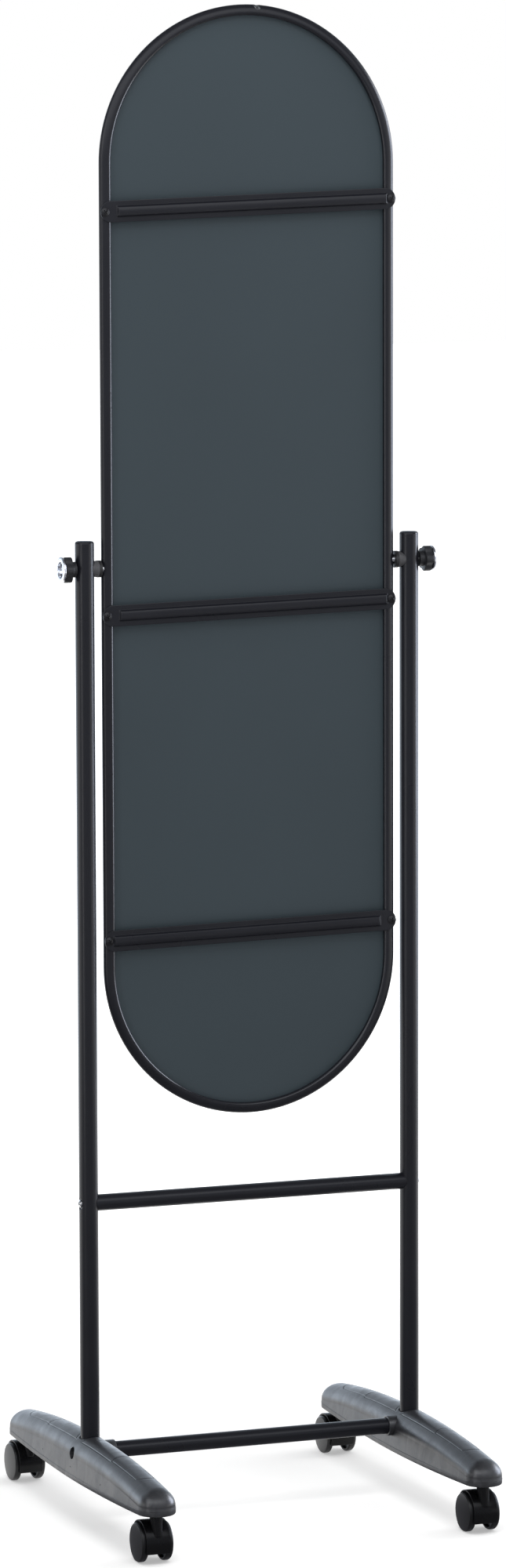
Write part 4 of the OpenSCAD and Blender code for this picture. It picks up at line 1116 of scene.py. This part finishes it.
class FLOORMIRROR_OT_feet(bpy.types.Operator):
    """Make the moulded foot shells and the trays under them"""

    bl_idname = "floor_mirror.feet"
    bl_label = "Feet"

    def execute(self, context):
        form = FootForm()
        shell = self.make_shell(form, context.scene.floor_mirror_stand)
        finish_pair(shell, "stand", "foot_moulding", "foot_shell_SIDE", 36)
        finish_pair(self.make_tray(form), "stand", "foot_moulding", "foot_tray_SIDE", 36)
        return {"FINISHED"}

    def make_shell(self, form, sizes):
        noses = [math.radians(90 - step * 5) for step in range(18)]
        run = [form.caster * (1 - step / 110) for step in range(110)]
        groove_runs, fine = ((11, 19), (104, 118), (176, 191)), 0.4
        for first, last in groove_runs:
            run += [(first + offset * fine) * MM for offset in range(int((last - first) / fine))]
        run = sorted(set(round(value, 5) for value in run if value <= form.caster), reverse=True)
        stations = [(form.caster, angle) for angle in noses] + [(y, 0.0) for y in run if y > 0.4 * MM]
        stations = ([(-y, angle) for y, angle in stations] + [(0.0001 * MM, 0.0)]
                    + list(reversed(stations)))
        params = [step / 60 for step in range(61)] + [0.218 + step * 0.005 for step in range(21)]
        params = sorted(set(round(sign * value, 4) for value in params for sign in (-1, 1)))
        points = []
        for y, angle in stations:
            for param, (x, along_y, z) in zip(params, form.section(y, angle, params)):
                depth = sizes.groove_depth * groove_at(form, along_y, param)
                inward = math.pi / 2 * param / DOME_END
                points.append((POST_X + x - depth * math.sin(inward), along_y, z - depth * math.cos(inward)))
        shell = plain_mesh("foot_moulding_left", points, ring_faces(len(stations), len(params)))
        face_outwards(shell)
        bar_z = middle("lower_bar", 2)
        start = POST_X - DOME_SHARE * form.half - 6.5 * MM
        collar = in_mm([(9.55, 0.4), (9.9, 0), (11.1, 0), (11.7, 0.3), (11.85, 0.9)], start)
        collar += in_mm([(11.85, -14)], POST_X)
        combine(shell, turned("collar_tool", collar, along_x(0, 0, bar_z)), "UNION")
        mouth = in_mm([(12.6, 0), (12.9, 8)], form.crest - 3.9 * MM)
        access = in_mm([(5.2, 206)]) + in_mm([(5.2, 14.7), (7, 14.7)], POST_X) + in_mm([(7, 230)])
        cuts = [turned("mouth_tool", mouth, along_z(POST_X, 0)),
                turned("access_tool", access, along_x(0, 0, bar_z))]
        dot_z = 66.5 * MM
        for y in (-100 * MM, 0.0, 100 * MM):
            dot = in_mm([(0.8, -0.7), (0.8, 3)], POST_X + form.side_x(y, dot_z))
            cuts.append(turned("dot_tool", dot, along_x(0, y, dot_z), 24))
        for tool in cuts:
            combine(shell, tool, "DIFFERENCE")
        return shell

    def make_tray(self, form):
        ys = [form.caster * (step / 60 - 1) for step in range(121)]
        arcs = 24

        def outline(growth, lift):
            """A ring round the tray, grown outwards and lifted from its underside."""
            ring = []
            for side in (1, -1):
                for y in ys:
                    x = form.half_at(y) + growth
                    ring.append((POST_X + side * x, side * y, form.under_at(y) + lift))
                for x, y in arc(0, form.caster, form.nose + growth, 0, 180, arcs)[1:-1]:
                    ring.append((POST_X + side * x, side * y, form.under_at(form.caster) + lift))
            return ring

        top = form.rim - 0.1 * MM
        step_out = form.rim_step
        low_edge = 1.9 * MM
        rings = [outline(-2.2 * MM, top), outline(step_out - 0.35 * MM, top),
                 outline(step_out - 0.05 * MM, top - 0.25 * MM), outline(step_out, top - 0.6 * MM),
                 outline(step_out, low_edge)]
        for turn in (22, 45, 67, 90):
            growth = step_out - low_edge * (1 - math.cos(math.radians(turn)))
            rings.append(outline(growth, low_edge * (1 - math.sin(math.radians(turn)))))
        count, half_run = len(rings[0]), len(ys)
        opposite = 2 * half_run + arcs - 2
        faces = ring_faces(len(rings), count)
        for first in (0, (len(rings) - 1) * count):
            flats = [(at, at + 1, opposite - at - 1, opposite - at) for at in range(half_run - 1)]
            flats += [range(half_run - 1, half_run + arcs), [*range(opposite, count), 0]]
            faces += [tuple(first + at for at in flat) for flat in flats]
        tray = plain_mesh("foot_tray_moulding_left", [point for ring in rings for point in ring], faces)
        face_outwards(tray, 1e-7)

        def drill(radius, y, base, end, segments=48):
            hole = in_mm([(radius, -1), (radius, end)], base)
            combine(tray, turned("hole_tool", hole, along_z(POST_X, y), segments), "DIFFERENCE")

        pad_z = form.under + form.under_rise - 0.6 * MM
        pad = in_mm([(9.1, 0), (9.5, 0.35), (9.5, 2.5)], pad_z)
        for end in (-1, 1):
            combine(tray, turned("pad_tool", pad, along_z(POST_X, end * form.caster), 64), "UNION")
            drill(4.4, end * form.caster, pad_z, 8)
            for away in (60 * MM, 150 * MM):
                drill(3.6, end * away, form.under_at(away), 3)
        drill(5.6, 0, form.under, 4, 64)
        return tray


# ---------- casters ----------

class FLOORMIRROR_OT_casters(bpy.types.Operator):
    """Make the twin-wheel casters: hoods with tapered necks, and wheels with grey discs"""

    bl_idname = "floor_mirror.casters"
    bl_label = "Casters"

    def execute(self, context):
        for name, side in CASTERS.items():
            swivel = Vector((side * POST_X, middle("stem_" + name, 1), 0))
            axle = Vector((swivel.x, middle("axle_" + name, 1), middle("axle_" + name, 2)))
            hood = self.make_hood("caster_hood_" + name, swivel, axle, reach("hood_" + name, 2))
            finish_piece(hood, "swivel_" + name, "caster_black", ["hood_" + name], 34)
            for place, sign in (("outer", side), ("inner", -side)):
                node = "wheel_%s_%s" % (name, place)
                wheel = self.make_wheel("caster_" + node, axle, sign)
                finish_piece(wheel, node, "wheel_black wheel_grey", [node])
        return {"FINISHED"}

    def make_hood(self, name, swivel, axle, neck_top):
        radius, half = 25.6 * MM, 14.5 * MM
        front = -10 * MM
        outline = arc(0, 0, radius, math.degrees(math.asin(front / radius)),
                      180 - math.degrees(math.asin(0.3)), 64)
        outline += [(-radius * 0.55, -1.3 * MM), (-6 * MM, front)]
        points = [(axle.x + side * half, axle.y + y, axle.z + z) for side in (-1, 1) for y, z in outline]
        hood = capped_rings(name, points, len(outline))
        pocket = in_mm([(23.5, 10.1), (23.5, 16)])
        for sign in (-1, 1):
            combine(hood, turned("pocket_tool", pocket, along_x(*axle, sign), 128), "DIFFERENCE")
        soften(hood, 0.5 * MM, 40, 3)
        foot_z = axle.z + radius * 0.5
        neck = in_mm([(4.6, -1), (4.8, 0.5)], foot_z)
        for step in range(1, 9):
            part = step / 8
            neck.append((4.8 * MM + 2.2 * MM * part ** 1.1, foot_z + (neck_top - foot_z) * part))
        neck[-1] = (neck[-1][0] - 0.1 * MM, neck_top - 0.5 * MM)
        neck += in_mm([(6.5, 0), (4.1, 0)], neck_top)
        combine(hood, turned("neck_tool", neck, along_z(swivel.x, swivel.y), 72), "UNION")
        ahead = math.copysign(1.0, swivel.y - axle.y)
        toe = Vector((swivel.x, axle.y + ahead * 20.4 * MM, axle.z + 8.5 * MM))
        lean = Vector((swivel.x, swivel.y, neck_top - 1.5 * MM)) - toe
        turn = Matrix.Translation(toe) @ lean.to_track_quat("Z", "X").to_matrix().to_4x4()
        boss = [(0.2 * MM, 0)] + arc(3.9 * MM, 1.5 * MM, 1.5 * MM, -88, 0, 6) + [(7.3 * MM, lean.length)]
        combine(hood, turned("boss_tool", boss, along(turn), 64), "UNION")
        return hood

    def make_wheel(self, name, axle, sign):
        radius, width, edge = 22.5 * MM, 8 * MM, 2.2 * MM
        inner = 10.5 * MM
        rim, hub = 19.3, 6.5
        disc = radius - 0.95 * MM
        profile = in_mm([(3.05, 5), (3.05, 0.3), (3.4, 0), (hub - 0.3, 0), (hub, 0.3), (hub + 0.3, 5.2),
                         (hub + 0.8, 5.5), (rim - 0.9, 5.5), (rim - 0.3, 5.1), (rim, 0.5), (rim + 0.4, 0)])
        profile += arc(radius - edge, edge, edge, -90, 0, 8)
        profile += [(radius, width * 0.35), (radius, width * 0.65)]
        profile += arc(radius - edge, width - edge, edge, 0, 62, 6)
        lip = width - 0.25 * MM
        profile += [(disc + 0.02 * MM, lip - 0.35 * MM), (disc, lip), (disc - 0.25 * MM, lip + 0.3 * MM)]
        for step in range(1, 15):
            part = 1 - step / 14
            profile.append((max(0.1 * MM, (disc - 0.4 * MM) * part),
                            lip + 0.38 * MM + 1.2 * MM * (1 - part ** 2.2)))
        wheel = turned(name, profile, along_x(axle.x + sign * inner, axle.y, axle.z, sign), 112)
        for face in wheel.data.polygons:
            points = [wheel.data.vertices[index].co for index in face.vertices]
            far = sum(math.hypot(p.y - axle.y, p.z - axle.z) for p in points) / len(points)
            out = sum(abs(p.x - axle.x) for p in points) / len(points) - inner
            face.material_index = 1 if out > lip - 0.4 * MM and far < disc + 0.2 * MM else 0
        return wheel


# ---------- carried-over solids ----------

class FLOORMIRROR_OT_solids(bpy.types.Operator):
    """Give every solid of the frame its finish"""

    bl_idname = "floor_mirror.solids"
    bl_label = "Finishes of the solids"

    def execute(self, context):
        slots = {part["node"]: part["material_slot"] for part in frame["record"]["subparts"]}
        for name, node in frame["nodes"].items():
            node.data.materials.clear()
            node.data.materials.append(FINISHES[slots[name]])
        return {"FINISHED"}


# ---------- stage ----------

def ray_mask(tree, *rays):
    """1 where the light path is one of these rays."""
    path = tree.nodes.new("ShaderNodeLightPath").outputs
    seen = path[rays[0]]
    for ray in rays[1:]:
        seen = calculate(tree, "MAXIMUM", seen, path[ray])
    return seen


def studio_floor(colour):
    """Floor and backdrop in one pale sweep: lit and shadowed round the part, plain white further out.

    From below it is clear, so that the underside of the part can be looked at.
    """
    material, tree, shader = new_finish(
        "studio_floor", base_color=(*colour, 1), emission_color=(1, 1, 1, 1), roughness=0.9,
        specular_ior_level=0.0)
    away = output_of(tree, "ShaderNodeVectorMath", "Value", {0: object_place(tree)}, operation="LENGTH")
    rim = map_range(tree, away, 0.55, 2.6, 0.36, 1.0, soft=True)
    seen = ray_mask(tree, "Is Camera Ray", "Is Glossy Ray")
    feed(tree, shader, {"Emission Strength": calculate(tree, "MULTIPLY", rim, seen)})
    surface = output_of(tree, "ShaderNodeMixShader", 0, {
        "Fac": output_of(tree, "ShaderNodeNewGeometry", "Backfacing"), 1: shader.outputs[0],
        2: output_of(tree, "ShaderNodeBsdfTransparent", 0)})
    feed(tree, tree.nodes["Material Output"], {"Surface": surface})
    return material


def area_lamp(name, place, target, width, height, power):
    """A rectangular soft lamp aimed at a point."""
    lamp = bpy.data.lights.new(name, "AREA")
    lamp.shape = "RECTANGLE"
    lamp.size, lamp.size_y = width, height
    lamp.energy = power
    holder = bpy.data.objects.new(name, lamp)
    bpy.context.scene.collection.objects.link(holder)
    aim = Vector(target) - Vector(place)
    holder.matrix_world = Matrix.Translation(place) @ aim.to_track_quat("-Z", "Y").to_matrix().to_4x4()
    return holder


# name, first and last compass angle, low and high edge, glow, and where the glow starts to fade
CARDS = (
    ("front_card", 2, 124, 0.0, 1.95, (0.42, 0.43, 0.48), None),
    ("high_front_card", 2, 124, 1.95, 4.4, (1.7, 1.75, 1.85), None),
    ("rim_card", 160, 194, 0.35, 2.6, (7.0, 7.5, 8.8), None),
    ("sheen_card", -166, -38, 0.0, 4.4, (1.9, 2.15, 2.45), 0.5),
)


def card_paint(card, shade, fade=None):
    """Gives a studio card its own glow and lets only reflections see it; the glow can fade upwards."""
    glow = max(shade)
    material, tree, shader = new_finish(
        card.name + "_paint", base_color=(0, 0, 0, 1), emission_color=(*(part / glow for part in shade), 1),
        emission_strength=glow, roughness=1.0, specular_ior_level=0.0)
    if fade is not None:
        height = along_axis(tree, object_place(tree), "Z")
        feed(tree, shader, {
            "Emission Strength": map_range(tree, height, fade, fade + 0.75, glow, 0.27 * glow, soft=True)})
    card.data.materials.append(material)
    for sight in ("camera", "diffuse", "transmission", "shadow", "volume_scatter"):
        setattr(card, "visible_" + sight, False)


def studio_card(name, first, last, low, high, shade, fade):
    """A curved card that stands round the part between two compass angles."""
    radius, steps = 3.2, 24
    points = [(x, y, z) for z in (low, high) for x, y in arc(0, 0, radius, first, last, steps)]
    card_paint(plain_mesh(name, points, ring_faces(2, steps + 1, closed_ring=False)), shade, fade)


def floor_card(shade):
    """A dark card that lies on the floor, under the part and on the camera's side of it."""
    steps, lift = 24, 1.5 * MM
    points = [(x, y, lift) for radius in (0.4, 3.0) for x, y in arc(-0.06, -0.08, radius, -12, 168, steps)]
    faces = ring_faces(2, steps + 1, closed_ring=False) + [tuple(range(steps, -1, -1))]
    card_paint(plain_mesh("floor_card", points, faces), (shade, shade, shade * 1.1))


def level_square(name, half, height, face):
    """A level square of one face over or under the part."""
    corners = [(-half, -half, height), (half, -half, height), (half, half, height), (-half, half, height)]
    return plain_mesh(name, corners, [face])


class FLOORMIRROR_OT_stage(bpy.types.Operator):
    """Set up the floor, the lamps, the world and the camera"""

    bl_idname = "floor_mirror.stage"
    bl_label = "Stage"

    def execute(self, context):
        floor = level_square("studio_floor", 30, 0, (0, 1, 2, 3))
        floor.data.materials.append(studio_floor(tuple(context.scene.floor_mirror_colours.floor)))
        self.light_world(context)
        middle_point = (0, 0, 0.8)
        area_lamp("key_strip", (2.6, 1.33, 1.15), middle_point, 0.4, 2.3, 9)
        area_lamp("side_softbox", (-3.2, -0.3, 1.65), middle_point, 1.7, 2.3, 36)
        top = area_lamp("top_softbox", (0.3, 1.4, 3.8), middle_point, 2.0, 2.0, 52)
        top.visible_glossy = False
        for card in CARDS:
            studio_card(*card)
        card_paint(level_square("ceiling_card", 15, 4.4, (3, 2, 1, 0)), (0.12, 0.12, 0.12 * 1.1))
        floor_card(0.2)
        self.place_camera(context)
        context.scene.view_settings.view_transform = "Standard"
        return {"FINISHED"}

    def light_world(self, context):
        """A studio that is bright behind the part and dimmer round the camera, and white where seen."""
        world = bpy.data.worlds.new("studio_world")
        context.scene.world = world
        world.use_nodes = True
        tree = world.node_tree
        way = output_of(tree, "ShaderNodeTexCoord", "Generated")
        behind = output_of(tree, "ShaderNodeVectorMath", "Value", {0: way, 1: (-0.5, -0.85, 0.1)},
                           operation="DOT_PRODUCT")
        strength = output_of(tree, "ShaderNodeMix", "Result", {
            "Factor": ray_mask(tree, "Is Camera Ray", "Is Transmission Ray", "Is Glossy Ray"),
            "A": map_range(tree, behind, 0.0, 0.75, 0.4, 1.0, soft=True), "B": 1.0})
        feed(tree, tree.nodes["Background"], {"Color": (1, 1, 1, 1), "Strength": strength})

    def place_camera(self, context):
        camera = bpy.data.cameras.new("photo_camera")
        camera.lens = 140.95
        camera.sensor_width = 36
        camera.clip_end = 100
        holder = bpy.data.objects.new("photo_camera", camera)
        context.scene.collection.objects.link(holder)
        right = Vector((-0.93357, 0.35837, -0.00327))
        back = Vector((0.35574, 0.92774, 0.11287)).normalized()
        up = back.cross(right).normalized()
        right = up.cross(back)
        turn = Matrix((right, up, back)).transposed().to_4x4()
        holder.matrix_world = Matrix.Translation((2.511, 6.561, 1.647)) @ turn
        context.scene.camera = holder


class FLOORMIRROR_OT_finishes(bpy.types.Operator):
    """Make all finishes from the chosen colours"""

    bl_idname = "floor_mirror.finishes"
    bl_label = "Finishes"

    def execute(self, context):
        make_finishes(context.scene.floor_mirror_colours)
        return {"FINISHED"}


STEPS = (
    FLOORMIRROR_OT_finishes, FLOORMIRROR_OT_solids, FLOORMIRROR_OT_mirror_frame, FLOORMIRROR_OT_braces,
    FLOORMIRROR_OT_fasteners, FLOORMIRROR_OT_posts, FLOORMIRROR_OT_bars, FLOORMIRROR_OT_knobs,
    FLOORMIRROR_OT_feet, FLOORMIRROR_OT_casters, FLOORMIRROR_OT_stage,
)


class FLOORMIRROR_PT_panel(bpy.types.Panel):
    """Sizes, colours and the steps that build the mirror"""

    bl_idname = "FLOORMIRROR_PT_panel"
    bl_label = "Floor mirror"
    bl_space_type = "VIEW_3D"
    bl_region_type = "UI"
    bl_category = "Floor mirror"

    def draw(self, context):
        layout = self.layout
        for setting in SETTINGS:
            group = getattr(context.scene, setting)
            box = layout.box()
            for name in group.bl_rna.properties.keys():
                if name not in ("rna_type", "name"):
                    box.prop(group, name)
        for step in STEPS:
            layout.operator(step.bl_idname)


SETTINGS = {
    "floor_mirror_sizes": MirrorSizes, "floor_mirror_stand": StandSizes,
    "floor_mirror_colours": FinishColours,
}
CLASSES = (*SETTINGS.values(), *STEPS, FLOORMIRROR_PT_panel)


def register():
    for item in CLASSES:
        bpy.utils.register_class(item)
    for setting, group in SETTINGS.items():
        setattr(bpy.types.Scene, setting, bpy.props.PointerProperty(type=group))


def unregister():
    for setting in SETTINGS:
        delattr(bpy.types.Scene, setting)
    for item in reversed(CLASSES):
        bpy.utils.unregister_class(item)


def main():
    """Registers the add-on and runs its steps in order."""
    register()
    for step in STEPS:
        group, name = step.bl_idname.split(".")
        getattr(getattr(bpy.ops, group), name)()


if __name__ == "__main__":
    main()
